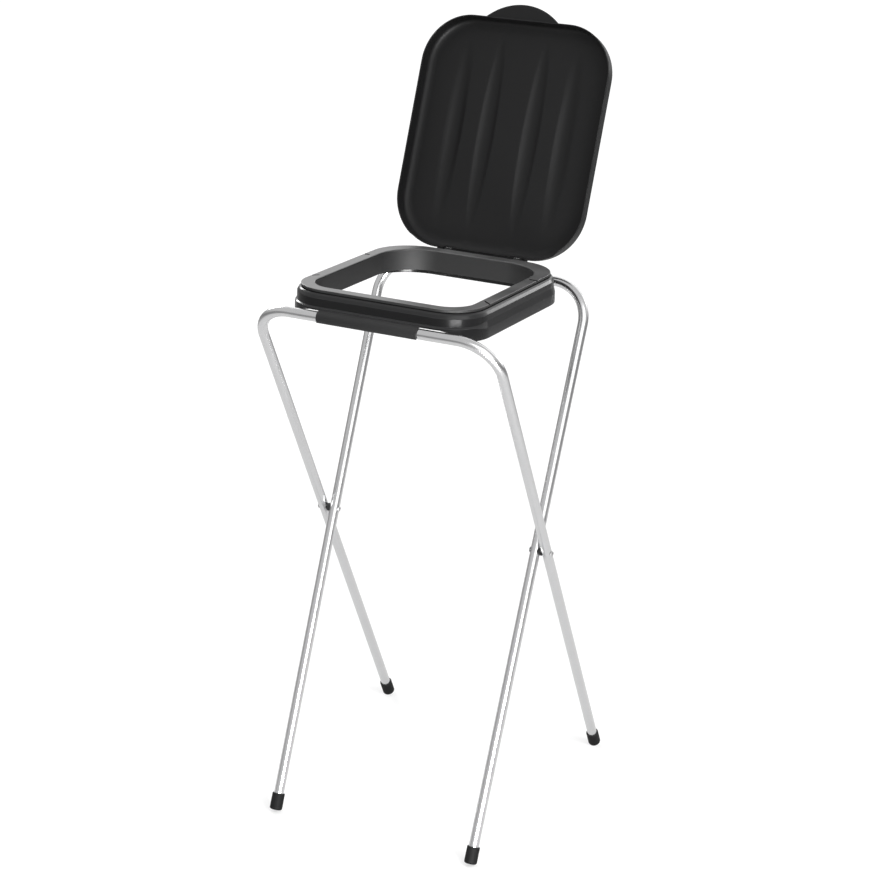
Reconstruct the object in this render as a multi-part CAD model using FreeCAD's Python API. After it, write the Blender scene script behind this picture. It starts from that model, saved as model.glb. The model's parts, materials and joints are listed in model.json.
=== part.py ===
# Folding bin bag holder: two crossed tube frames carry a clamping bag collar with a hinged lid.
# Millimetres. +Z up, the front faces -Y, the origin lies on the floor midway between the feet.
import FreeCAD, Part
import math
import os
from FreeCAD import Placement, Rotation, Vector

# Tube frames
TUBE_OD = 16.0
TUBE_WALL = 1.0
BEND_RADIUS = 60.0          # centre line of the two top bends
BAR_RISE = 850.0            # front bar above the ends of the foot axes
BAR_REACH = 196.3           # front bar from the middle, front to back
FOOT_REACH = 217.4          # each pair of feet from the middle, front to back
REAR_LEG_SHORTER = 28.2     # rear frame's legs shorter than the front frame's
FRONT_FRAME_WIDTH = 397.6   # leg centre to leg centre, top and bottom
PIVOT_GAP = 3.6             # between the crossed tubes at the rivets
REAR_FRAME_FLARE = 14.4     # rear frame wider at its bar than at its feet

# Foot caps
CAP_OD = 20.4
CAP_LENGTH = 27.0
CAP_FLOOR = 3.0
CAP_EDGE_RADIUS = 3.0
CAP_LIP_CHAMFER = 0.6
CAP_FIT = 0.03

# Pivot rivets and the spacers between the tubes
RIVET_SHANK = 5.0
RIVET_HEAD = 10.0
RIVET_HEAD_HEIGHT = 2.6
RIVET_HOLE_FIT = 0.04
SPACER_OD = 13.0
SPACER_BORE_FIT = 0.05
SIDE_PLAY = 0.15

# Bag collar: opening, clamping flange and two-tier skirt
OPENING_WIDTH = 259.0       # its length follows from the distance between the bars
OPENING_FRONT_RADIUS = 40.0
OPENING_BACK_RADIUS = 68.0
FLANGE_WIDTH = 19.6
FLANGE_FRONT_RADIUS = 55.0
FLANGE_BACK_RADIUS = 67.0
FLANGE_THICKNESS = 2.4
FLANGE_LIP = 4.6            # depth of the flange's outer lip
CLAMP_WALL = 2.0
CLAMP_DEPTH = 33.0          # inner wall of the clamping ring, below the flange top
CLAMP_TAPER = 1.6
CLAMP_SLIT = 2.0
CLAMP_SLIT_FRONT = 92.0     # slits in the flange, from the collar's middle
CLAMP_SLIT_BACK = 67.0
CLAMP_SLIT_SKEW = 18.0
SHOULDER_START = 1.2        # offsets outward from the flange's outline
SHOULDER_CREST = 4.4
SHOULDER_END = 5.6
LEDGE_END = 8.6
SHOULDER_TOP = 4.9          # depths below the flange top
SHOULDER_MIDDLE = 6.4
SHOULDER_BOTTOM = 10.5
LEDGE_TOP = 24.5
LEDGE_BOTTOM = 26.3
SKIRT_BOTTOM = 46.0
SKIRT_WALL = 2.2
SKIRT_DRAFT = 0.3
INNER_WALL_BOTTOM = 29.0
FRONT_SETBACK = 3.3         # skirt's front face behind the front bar's axis
FRONT_BAR_DROP = 37.6       # front bar's axis below the flange top
REAR_BAR_DROP = 32.3        # rear bar's axis below the flange top
REAR_BAR_BEHIND = 20.9      # rear bar's axis behind the skirt
BAR_GAP = 0.6               # skirt above the front bar
NOTCH_BACK = 9.2            # notch over the front bar, behind its axis
NOTCH_SHOULDER = 3.0        # height of the notch's chamfered top corner
NOTCH_SLOPE = 11.5
SEAT_GAP = 0.05             # between pieces that are pressed together

# Clip over the front bar
CLIP_LENGTH = 165.0
CLIP_OFFSET = -5.5
CLIP_WALL = 2.0
CLIP_BORE_GAP = 0.3
CLIP_LIP_ANGLE = 226.0      # where the lip under the bar ends, from the back round over the top
CLIP_TONGUE = 13.0          # height of the tongue behind the skirt

# Snap bearings on the rear bar
BEARING_WIDTH = 22.0
BEARING_SPACING = 196.0
BEARING_WALL = 2.6
BEARING_FIT = 0.05
BEARING_MOUTH = 80.0
ARM_TOP = 28.5              # the arms' depths below the flange top
ARM_BOTTOM = 42.0

# Lid
LID_SIDE_OVERHANG = 4.8     # past the skirt's lower tier
LID_FRONT_OVERHANG = 8.8
LID_REAR_OVERHANG = 8.9
LID_FRONT_RADIUS = 80.0
LID_BACK_RADIUS = 84.0
LID_WALL = 2.0
LID_HEADROOM = 1.0          # panel above the flange when shut
LID_DEPTH = 25.5            # panel's underside to the rim's edge
LID_DRAFT = 1.2
LID_CROWN = 9.0             # height of the rounded shoulder
LID_CROWN_WIDTH = 10.0
REAR_RIM_RELIEF = 5.6
REAR_RIM_RELIEF_HALF = 116.0
REAR_LIP_HALF = 77.0        # lip along the rear rim, over the gap to the open lid
REAR_LIP_REACH = 3.0        # behind the hinge axis when shut
REAR_LIP_THICKNESS = 1.2
LID_OPEN_ANGLE = 109.0
FLUTES = ((-95.5, 290.0), (-38.5, 304.0), (38.5, 304.0), (95.5, 290.0))
FLUTE_AXIS_DEPTH = 20.0     # flute axis below the panel's top
FLUTE_HEIGHT = 5.0
FLUTE_FORWARD = 3.5         # flutes sit this much ahead of the lid's middle
TAB_HALF_WIDTH = 62.0
TAB_REACH = 23.3
TAB_THICKNESS = 2.5

# Lid hinges
HINGE_BEHIND_SKIRT = 11.0
HINGE_DROP = 6.8
HINGE_SPACING = 120.0
KNUCKLE_RADIUS = 4.2
COLLAR_KNUCKLE = 16.0
LID_KNUCKLE = 7.0
KNUCKLE_GAP = 0.4
PIN_DIAMETER = 3.0
PIN_FIT = 0.04
HINGE_CLEARANCE = 0.8

# Worked out from the sizes above
LEG_LEAN = math.atan2(BAR_REACH + FOOT_REACH, BAR_RISE)
FRONT_LEG = math.hypot(BAR_REACH + FOOT_REACH, BAR_RISE)
REAR_LEG = FRONT_LEG - REAR_LEG_SHORTER
CAP_RADIUS = CAP_OD / 2
FOOT_AXIS_Z = (CAP_EDGE_RADIUS + (CAP_RADIUS - CAP_EDGE_RADIUS) * math.sin(LEG_LEAN)
               - CAP_EDGE_RADIUS * math.cos(LEG_LEAN))
BAR_Z = FOOT_AXIS_Z + BAR_RISE
REAR_BAR_Y = REAR_LEG * math.sin(LEG_LEAN) - FOOT_REACH
REAR_BAR_Z = REAR_LEG * math.cos(LEG_LEAN) + FOOT_AXIS_Z
TUBE_RADIUS = TUBE_OD / 2
PIVOT_Z = FOOT_AXIS_Z + BAR_RISE * FOOT_REACH / (BAR_REACH + FOOT_REACH)
FOOT_TO_PIVOT = FOOT_REACH / math.sin(LEG_LEAN)
FRONT_PIVOT_HALF = FRONT_FRAME_WIDTH / 2
REAR_PIVOT_HALF = FRONT_PIVOT_HALF - TUBE_OD - PIVOT_GAP
REAR_TAPER = REAR_FRAME_FLARE / REAR_LEG
REAR_FRAME_FOOT_WIDTH = 2 * REAR_PIVOT_HALF - REAR_TAPER * FOOT_TO_PIVOT
REAR_FRAME_TOP_WIDTH = REAR_FRAME_FOOT_WIDTH + REAR_FRAME_FLARE
FRONT_FRAME = {"turn": 1, "top": FRONT_FRAME_WIDTH, "foot": FRONT_FRAME_WIDTH,
               "leg": FRONT_LEG, "bar": (-BAR_REACH, BAR_Z)}
REAR_FRAME = {"turn": -1, "top": REAR_FRAME_TOP_WIDTH, "foot": REAR_FRAME_FOOT_WIDTH,
              "leg": REAR_LEG, "bar": (REAR_BAR_Y, REAR_BAR_Z)}

# Collar frame: origin over the rear bar at the flange top's level, -Y to the front
BAR_STEP = FRONT_BAR_DROP - REAR_BAR_DROP
BAR_SPAN = math.hypot(BAR_REACH + REAR_BAR_Y, BAR_Z - REAR_BAR_Z)
FRONT_BAR_Y = -math.sqrt(BAR_SPAN ** 2 - BAR_STEP ** 2)
COLLAR_TILT = math.degrees(math.atan2(BAR_Z - REAR_BAR_Z, BAR_REACH + REAR_BAR_Y)
                           + math.atan2(BAR_STEP, -FRONT_BAR_Y))
SKIRT_FRONT = FRONT_BAR_Y + FRONT_SETBACK
SKIRT_BACK = -REAR_BAR_BEHIND
FLANGE_FRONT = SKIRT_FRONT + LEDGE_END
FLANGE_BACK = SKIRT_BACK - LEDGE_END
OPENING_FRONT = FLANGE_FRONT + FLANGE_WIDTH
OPENING_BACK = FLANGE_BACK - FLANGE_WIDTH
FLANGE_HALF = OPENING_WIDTH / 2 + FLANGE_WIDTH
COLLAR_MIDDLE = (FLANGE_FRONT + FLANGE_BACK) / 2
HINGE_Y = SKIRT_BACK + HINGE_BEHIND_SKIRT
LID_HALF = FLANGE_HALF + LEDGE_END + LID_SIDE_OVERHANG
LID_FRONT = SKIRT_FRONT - LID_FRONT_OVERHANG
LID_BACK = SKIRT_BACK + LID_REAR_OVERHANG
LID_TOP = LID_HEADROOM + LID_WALL
LID_RIM = LID_HEADROOM - LID_DEPTH
X_AXIS = Vector(1, 0, 0)
Y_AXIS = Vector(0, 1, 0)
Z_AXIS = Vector(0, 0, 1)
ORIGIN = Vector(0, 0, 0)


def write(shape, name):
    """Write one piece to its own file."""
    shape.exportStep(os.path.join("parts", name + ".step"))
    print(name, "volume %.0f" % shape.Volume, "valid", shape.isValid(), "solids", len(shape.Solids))


def box(x0, x1, y0, y1, z0, z1):
    """Box between two corners."""
    return Part.makeBox(x1 - x0, y1 - y0, z1 - z0, Vector(x0, y0, z0))


def x_cylinder(radius, x0, x1, y, z):
    """Cylinder along X."""
    return Part.makeCylinder(radius, x1 - x0, Vector(x0, y, z), X_AXIS)


def x_prism(points, x0, x1):
    """Prism along X from an outline in the Y-Z plane."""
    outline = Part.makePolygon([Vector(x0, y, z) for y, z in points + points[:1]])
    return Part.Face(outline).extrude(Vector(x1 - x0, 0, 0))


def rounded_outline(half, front, back, front_radius, back_radius, z):
    """Closed outline of a rectangle with two front and two back corner radii."""
    def quarter(cx, cy, radius, start):
        circle = Part.Circle(Vector(cx, cy, z), Z_AXIS, radius)
        return Part.Arc(circle, math.radians(start), math.radians(start + 90)).toShape()

    corners = [
        quarter(half - back_radius, back - back_radius, back_radius, 0),
        quarter(back_radius - half, back - back_radius, back_radius, 90),
        quarter(front_radius - half, front + front_radius, front_radius, 180),
        quarter(half - front_radius, front + front_radius, front_radius, 270),
    ]
    edges = []
    for i, corner in enumerate(corners):
        edges.append(corner)
        start = corner.Vertexes[-1].Point
        end = corners[(i + 1) % 4].Vertexes[0].Point
        edges.append(Part.LineSegment(start, end).toShape())
    return Part.Wire(edges)


def collar_outline(offset, z):
    """The flange's outline, offset outward, at a height in the collar frame."""
    return rounded_outline(FLANGE_HALF + offset, FLANGE_FRONT - offset, FLANGE_BACK + offset,
                           FLANGE_FRONT_RADIUS + offset, FLANGE_BACK_RADIUS + offset, z)


def opening_outline(offset, z):
    """The bag opening's outline, offset outward."""
    return rounded_outline(OPENING_WIDTH / 2 + offset, OPENING_FRONT - offset,
                           OPENING_BACK + offset, OPENING_FRONT_RADIUS + offset,
                           OPENING_BACK_RADIUS + offset, z)


def lid_outline(inset, z):
    """The lid's outline, inset from its rim."""
    return rounded_outline(LID_HALF - inset, LID_FRONT + inset, LID_BACK - inset,
                           LID_FRONT_RADIUS - inset, LID_BACK_RADIUS - inset, z)


def stack(outline, levels):
    """Solid through a run of (offset, z) levels of one outline."""
    solid = None
    for (o0, z0), (o1, z1) in zip(levels, levels[1:]):
        if abs(z1 - z0) < 1e-6:
            continue
        slab = Part.makeLoft([outline(o0, z0), outline(o1, z1)], True, True)
        solid = slab if solid is None else solid.fuse(slab)
    return solid.removeSplitter()


def frame_path(top_width, foot_width, length):
    """Centre line of a bent frame in its own plane: bar along X at s = 0, legs down along -Z."""
    half_top, half_foot = top_width / 2, foot_width / 2
    corners = [Vector(-half_foot, 0, -length), Vector(-half_top, 0, 0),
               Vector(half_top, 0, 0), Vector(half_foot, 0, -length)]
    edges = []
    start = corners[0]
    for before, corner, after in zip(corners, corners[1:], corners[2:]):
        into = (corner - before).normalize()
        away = (after - corner).normalize()
        turn = into.getAngle(away)
        reach = BEND_RADIUS * math.tan(turn / 2)
        arc_start = corner - into * reach
        arc_end = corner + away * reach
        inward = (away - into).normalize()
        middle = corner + inward * (BEND_RADIUS / math.cos(turn / 2) - BEND_RADIUS)
        edges.append(Part.LineSegment(start, arc_start).toShape())
        edges.append(Part.Arc(arc_start, middle, arc_end).toShape())
        start = arc_end
    edges.append(Part.LineSegment(start, corners[-1]).toShape())
    return Part.Wire(edges)


def bent_tube(frame):
    """Hollow tube frame in its own plane."""
    path = frame_path(frame["top"], frame["foot"], frame["leg"] - CAP_FLOOR)
    start = path.Edges[0].Vertexes[0].Point
    along = path.Edges[0].tangentAt(path.Edges[0].FirstParameter)

    def sweep(radius):
        ring = Part.Wire(Part.makeCircle(radius, start, along))
        return path.makePipeShell([ring], True, False)

    return sweep(TUBE_RADIUS).cut(sweep(TUBE_RADIUS - TUBE_WALL))


def frame_placement(frame):
    """From a frame's own plane to its place."""
    lean = math.degrees(LEG_LEAN) * frame["turn"]
    return Placement(Vector(0, *frame["bar"]), Rotation(X_AXIS, lean))


def rivet_hole():
    """Hole for both rivets through a frame, a running fit round the shank."""
    reach = FRONT_FRAME_WIDTH
    return x_cylinder(RIVET_SHANK / 2 + RIVET_HOLE_FIT, -reach, reach, 0, PIVOT_Z)


def leg_frame(frame):
    """One bent tube frame in its place, drilled for the rivets."""
    tube = bent_tube(frame)
    tube.Placement = frame_placement(frame)
    return tube.cut(rivet_hole())


def foot_cap(frame, hand):
    """Soft cap over a leg's end, turned about the leg's axis."""
    radius, edge = CAP_RADIUS, CAP_EDGE_RADIUS
    bore = TUBE_RADIUS + CAP_FIT
    bend = edge * (1 - math.sqrt(0.5))
    outline = [
        Part.LineSegment(Vector(0, 0, 0), Vector(radius - edge, 0, 0)),
        Part.Arc(Vector(radius - edge, 0, 0), Vector(radius - bend, 0, bend),
                 Vector(radius, 0, edge)),
        Part.LineSegment(Vector(radius, 0, edge), Vector(radius, 0, CAP_LENGTH - CAP_LIP_CHAMFER)),
        Part.LineSegment(Vector(radius, 0, CAP_LENGTH - CAP_LIP_CHAMFER),
                         Vector(radius - CAP_LIP_CHAMFER, 0, CAP_LENGTH)),
        Part.LineSegment(Vector(radius - CAP_LIP_CHAMFER, 0, CAP_LENGTH),
                         Vector(bore, 0, CAP_LENGTH)),
        Part.LineSegment(Vector(bore, 0, CAP_LENGTH), Vector(bore, 0, CAP_FLOOR)),
        Part.LineSegment(Vector(bore, 0, CAP_FLOOR), Vector(0, 0, CAP_FLOOR)),
        Part.LineSegment(Vector(0, 0, CAP_FLOOR), Vector(0, 0, 0)),
    ]
    profile = Part.Face(Part.Wire([piece.toShape() for piece in outline]))
    cap = profile.revolve(ORIGIN, Z_AXIS, 360)
    splay = math.degrees(math.atan2((frame["top"] - frame["foot"]) / 2, frame["leg"])) * hand
    end = Vector(hand * frame["foot"] / 2, 0, -frame["leg"])
    cap.Placement = frame_placement(frame).multiply(Placement(end, Rotation(Y_AXIS, splay)))
    return cap


def rivet(hand):
    """Steel rivet with a domed head at each end, through both tubes and the spacer."""
    outer = FRONT_PIVOT_HALF + TUBE_RADIUS + SIDE_PLAY
    inner = REAR_PIVOT_HALF - TUBE_RADIUS - SEAT_GAP
    radius = RIVET_HEAD / 2
    shank = Part.makeCylinder(RIVET_SHANK / 2, outer - inner, Vector(0, 0, inner))
    dome_radius = (radius ** 2 + RIVET_HEAD_HEIGHT ** 2) / (2 * RIVET_HEAD_HEIGHT)

    def head(z, up):
        ball = Part.makeSphere(dome_radius, Vector(0, 0, z + up * (RIVET_HEAD_HEIGHT - dome_radius)))
        slab = Part.makeCylinder(dome_radius, RIVET_HEAD_HEIGHT, Vector(0, 0, z), Vector(0, 0, up))
        return ball.common(slab)

    body = shank.fuse([head(outer, 1), head(inner, -1)]).removeSplitter()
    body.Placement = Placement(Vector(0, 0, PIVOT_Z), Rotation(Y_AXIS, 90 * hand))
    return body


def pivot_spacer(hand):
    """Plastic spacer between the crossed tubes, saddled over the inner tube."""
    outer = FRONT_PIVOT_HALF - TUBE_RADIUS - SIDE_PLAY
    inner = REAR_PIVOT_HALF
    x0, x1 = sorted((hand * inner, hand * outer))
    body = x_cylinder(SPACER_OD / 2, x0, x1, 0, PIVOT_Z)
    body = body.cut(x_cylinder(RIVET_SHANK / 2 + SPACER_BORE_FIT, x0 - 1, x1 + 1, 0, PIVOT_Z))
    path = frame_path(REAR_FRAME["top"], REAR_FRAME["foot"], REAR_FRAME["leg"])
    leg = path.Edges[0] if hand < 0 else path.Edges[-1]
    foot, top = leg.Vertexes[0].Point, leg.Vertexes[-1].Point
    saddle = Part.makeCylinder(TUBE_RADIUS + SEAT_GAP, (top - foot).Length, foot, top - foot)
    saddle.Placement = frame_placement(REAR_FRAME)
    return body.cut(saddle)


def collar_placement():
    """From the collar frame to its place, hung on the rear bar and resting on the front one."""
    turn = Rotation(X_AXIS, -COLLAR_TILT)
    lift = turn.multVec(Vector(0, 0, REAR_BAR_DROP))
    return Placement(Vector(0, REAR_BAR_Y, REAR_BAR_Z) + lift, turn)


def front_notch():
    """Room for the front bar under the skirt, sloped so that the bar can leave downward."""
    y, z = FRONT_BAR_Y, -FRONT_BAR_DROP
    top = z + TUBE_RADIUS + BAR_GAP
    low = -SKIRT_BOTTOM - 1
    return x_prism([(SKIRT_FRONT - 20, low), (SKIRT_FRONT - 20, top),
                    (y + NOTCH_BACK - NOTCH_SHOULDER, top),
                    (y + NOTCH_BACK, top - NOTCH_SHOULDER),
                    (y + NOTCH_BACK + NOTCH_SLOPE, low)], -FLANGE_HALF - 20, FLANGE_HALF + 20)


def clip_seat(gap):
    """Room under the skirt for the clip's round and for the strap over to its tongue."""
    reach = TUBE_RADIUS + CLIP_BORE_GAP + CLIP_WALL + gap
    x0, x1 = CLIP_OFFSET - CLIP_LENGTH / 2 - gap, CLIP_OFFSET + CLIP_LENGTH / 2 + gap
    y, z = FRONT_BAR_Y, -FRONT_BAR_DROP
    strap = box(x0, x1, y, OPENING_FRONT - 2 * CLAMP_WALL, z, z + reach)
    return strap.fuse(x_cylinder(reach, x0, x1, y, z))


def rear_bearing(hand):
    """Arm and snap bearing that carry the collar on the rear bar."""
    middle = hand * BEARING_SPACING / 2
    x0, x1 = middle - BEARING_WIDTH / 2, middle + BEARING_WIDTH / 2
    outer = TUBE_RADIUS + BEARING_FIT + BEARING_WALL
    root = SKIRT_BACK - SKIRT_WALL / 2
    arm = x_prism([(root, -ARM_TOP), (-outer * 0.7, -ARM_TOP), (0, -REAR_BAR_DROP),
                   (-outer * 0.5, -ARM_BOTTOM), (root, -ARM_BOTTOM)], x0, x1)
    hoop = x_cylinder(outer, x0, x1, 0, -REAR_BAR_DROP)
    mouth_reach = 2 * outer
    first, last = math.radians(-100), math.radians(-100 + BEARING_MOUTH)
    mouth = x_prism([(0, -REAR_BAR_DROP)] +
                    [(mouth_reach * math.cos(a), -REAR_BAR_DROP + mouth_reach * math.sin(a))
                     for a in (first, (first + last) / 2, last)], x0 - 1, x1 + 1)
    bore = x_cylinder(TUBE_RADIUS + BEARING_FIT, x0 - 1, x1 + 1, 0, -REAR_BAR_DROP)
    return arm.fuse(hoop).cut(mouth).cut(bore)


def collar_knuckle(hand):
    """Hinge knuckle on the collar's back wall."""
    middle = hand * HINGE_SPACING / 2
    x0, x1 = middle - COLLAR_KNUCKLE / 2, middle + COLLAR_KNUCKLE / 2
    z, r = -HINGE_DROP, KNUCKLE_RADIUS
    root = SKIRT_BACK - LEDGE_END + SHOULDER_END - SKIRT_WALL / 2
    web = x_prism([(HINGE_Y, z - r), (HINGE_Y - r * 0.7, z + r * 0.7),
                   (root, -SHOULDER_BOTTOM), (root, -LEDGE_TOP + 2)], x0, x1)
    return web.fuse(x_cylinder(r, x0, x1, HINGE_Y, z))


def pin_holes(gap):
    """Holes for the two hinge pins."""
    half = COLLAR_KNUCKLE / 2 + KNUCKLE_GAP + LID_KNUCKLE + 1
    holes = [x_cylinder(PIN_DIAMETER / 2 + gap, h * HINGE_SPACING / 2 - half,
                        h * HINGE_SPACING / 2 + half, HINGE_Y, -HINGE_DROP) for h in (-1, 1)]
    return holes[0].fuse(holes[1])


def base_collar():
    """Outer collar: two-tier skirt, sloped shoulder, web under the flange and an inner wall."""
    lip_clear = -CLAMP_WALL - 0.3
    outside = stack(collar_outline, [(LEDGE_END + SKIRT_DRAFT, -SKIRT_BOTTOM),
                                     (LEDGE_END, -LEDGE_BOTTOM),
                                     (SHOULDER_END + SKIRT_DRAFT, -LEDGE_TOP),
                                     (SHOULDER_END, -SHOULDER_BOTTOM),
                                     (SHOULDER_CREST, -SHOULDER_MIDDLE),
                                     (SHOULDER_START, -SHOULDER_TOP)])
    web = stack(collar_outline, [(lip_clear, -SHOULDER_TOP - 1), (lip_clear, -FLANGE_THICKNESS)])
    inner = SKIRT_WALL
    room = stack(collar_outline, [(LEDGE_END + SKIRT_DRAFT - inner, -SKIRT_BOTTOM - 1),
                                  (LEDGE_END - inner, -LEDGE_BOTTOM - inner),
                                  (SHOULDER_END - inner, -LEDGE_BOTTOM - inner + 1.8),
                                  (SHOULDER_END - inner, -SHOULDER_BOTTOM - 1),
                                  (SHOULDER_CREST - inner, -SHOULDER_MIDDLE - inner),
                                  (SHOULDER_START - inner, -SHOULDER_TOP - inner)])
    wall_gap = CLAMP_WALL + 0.4
    sleeve = stack(opening_outline, [(wall_gap + inner, -SKIRT_BOTTOM - 1),
                                     (wall_gap + inner, -SHOULDER_TOP)])
    low = box(-FLANGE_HALF, FLANGE_HALF, FLANGE_FRONT, FLANGE_BACK, -SKIRT_BOTTOM - 2,
              -INNER_WALL_BOTTOM)
    hole = stack(opening_outline, [(wall_gap, -SKIRT_BOTTOM - 1), (wall_gap, 1)])
    collar = outside.fuse(web).cut(room.cut(sleeve.cut(low))).cut(hole)
    collar = collar.cut(front_notch()).cut(clip_seat(SEAT_GAP))
    extras = [rear_bearing(h) for h in (-1, 1)] + [collar_knuckle(h) for h in (-1, 1)]
    collar = collar.fuse(extras).cut(pin_holes(PIN_FIT))
    return collar.removeSplitter()


def slit(hand, along, skew):
    """Narrow slit across the flange on one side."""
    inner, outer = OPENING_WIDTH / 2 - 3, FLANGE_HALF + 3
    half = CLAMP_SLIT / 2
    y = COLLAR_MIDDLE + along
    points = [(inner, y + skew / 2 - half), (outer, y - skew / 2 - half),
              (outer, y - skew / 2 + half), (inner, y + skew / 2 + half)]
    outline = Part.makePolygon([Vector(hand * x, py, -FLANGE_THICKNESS + 0.6)
                                for x, py in points + points[:1]])
    return Part.Face(outline).extrude(Vector(0, 0, FLANGE_THICKNESS + 1))


def clamp_ring():
    """Inner ring that clamps the bag: top flange with an outer lip and a tapered inner wall."""
    plate = stack(collar_outline, [(0, -FLANGE_LIP), (0, 0)])
    under = stack(collar_outline, [(-CLAMP_WALL, -FLANGE_LIP - 1), (-CLAMP_WALL, -FLANGE_THICKNESS)])
    wall = stack(opening_outline, [(CLAMP_WALL - CLAMP_TAPER, -CLAMP_DEPTH),
                                   (CLAMP_WALL, -FLANGE_THICKNESS)])
    hole = stack(opening_outline, [(-CLAMP_TAPER - 0.02, -CLAMP_DEPTH - 1), (0, 1)])
    ring = plate.cut(under).fuse(wall).cut(hole)
    edges = [e for e in ring.Edges if abs(e.BoundBox.ZMin) < 1e-4 and abs(e.BoundBox.ZMax) < 1e-4]
    ring = ring.makeFillet(0.8, edges)
    for hand in (-1, 1):
        ring = ring.cut(slit(hand, -CLAMP_SLIT_FRONT, CLAMP_SLIT_SKEW))
        ring = ring.cut(slit(hand, CLAMP_SLIT_BACK, 0))
    return ring


def front_clip():
    """Clip over the front bar: a hook round its front and a tongue behind the skirt."""
    y, z = FRONT_BAR_Y, -FRONT_BAR_DROP
    bore = TUBE_RADIUS + CLIP_BORE_GAP
    outer = bore + CLIP_WALL
    x0, x1 = CLIP_OFFSET - CLIP_LENGTH / 2, CLIP_OFFSET + CLIP_LENGTH / 2
    tongue_front = FLANGE_FRONT - (SHOULDER_END - SKIRT_WALL) + SEAT_GAP
    tongue_back = tongue_front + CLIP_WALL
    end = math.radians(CLIP_LIP_ANGLE)

    def at(radius, angle):
        return Vector(x0, y + radius * math.cos(angle), z + radius * math.sin(angle))

    half_way = (math.pi / 2 + end) / 2
    edges = [
        Part.Arc(at(outer, math.pi / 2), at(outer, half_way), at(outer, end)),
        Part.LineSegment(at(outer, end), at(bore, end)),
        Part.Arc(at(bore, end), at(bore, half_way), at(bore, math.pi / 2)),
        Part.LineSegment(at(bore, math.pi / 2), Vector(x0, tongue_back, z + bore)),
        Part.LineSegment(Vector(x0, tongue_back, z + bore), Vector(x0, tongue_back, z + outer + CLIP_TONGUE)),
        Part.LineSegment(Vector(x0, tongue_back, z + outer + CLIP_TONGUE),
                         Vector(x0, tongue_front, z + outer + CLIP_TONGUE)),
        Part.LineSegment(Vector(x0, tongue_front, z + outer + CLIP_TONGUE),
                         Vector(x0, tongue_front, z + outer)),
        Part.LineSegment(Vector(x0, tongue_front, z + outer), at(outer, math.pi / 2)),
    ]
    face = Part.Face(Part.Wire([e.toShape() for e in edges]))
    return face.extrude(Vector(x1 - x0, 0, 0))


def crown(inset, wall, top):
    """Levels of the lid's outside or inside: a drafted wall and an elliptical shoulder."""
    width = LID_CROWN_WIDTH + LID_WALL - wall
    height = LID_CROWN + LID_WALL - wall
    steps = 5
    levels = [(inset, LID_RIM - (0.5 if wall else 0))]
    for i in range(steps + 1):
        angle = math.pi / 2 * i / steps
        step = LID_DRAFT + width * (1 - math.cos(angle))
        levels.append((inset + step, top - height + height * math.sin(angle)))
    return levels


def flute(x, length, thin):
    """Spindle whose upper side stands out of the panel as a long pointed flute."""
    radius_end = FLUTE_AXIS_DEPTH - thin
    radius_mid = FLUTE_AXIS_DEPTH + FLUTE_HEIGHT - thin
    z = LID_TOP - FLUTE_AXIS_DEPTH
    y = (LID_FRONT + LID_BACK) / 2 - FLUTE_FORWARD
    y0, y1 = y - length / 2, y + length / 2
    rim = Part.Arc(Vector(x, y0, z + radius_end), Vector(x, y, z + radius_mid),
                   Vector(x, y1, z + radius_end)).toShape()
    sides = [Part.LineSegment(Vector(x, y1, z + radius_end), Vector(x, y1, z)).toShape(),
             Part.LineSegment(Vector(x, y1, z), Vector(x, y0, z)).toShape(),
             Part.LineSegment(Vector(x, y0, z), Vector(x, y0, z + radius_end)).toShape()]
    return Part.Face(Part.Wire([rim] + sides)).revolve(Vector(x, y, z), Y_AXIS, 360)


def lid_knuckles(hand):
    """Two hinge knuckles on the lid beside one of the collar's."""
    shapes = []
    z, r = -HINGE_DROP, KNUCKLE_RADIUS
    for side in (-1, 1):
        near = hand * HINGE_SPACING / 2 + side * (COLLAR_KNUCKLE / 2 + KNUCKLE_GAP)
        x0, x1 = sorted((near, near + side * LID_KNUCKLE))
        wall = LID_BACK - LID_WALL + 0.1
        web = x_prism([(HINGE_Y, z - r), (HINGE_Y + r * 0.87, z + r * 0.5),
                       (LID_BACK - LID_DRAFT - LID_WALL, LID_HEADROOM - LID_CROWN / 3),
                       (wall - LID_DRAFT, z), (wall, z - r)], x0, x1)
        shapes.append(web.fuse(x_cylinder(r, x0, x1, HINGE_Y, z)))
    return shapes


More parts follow.
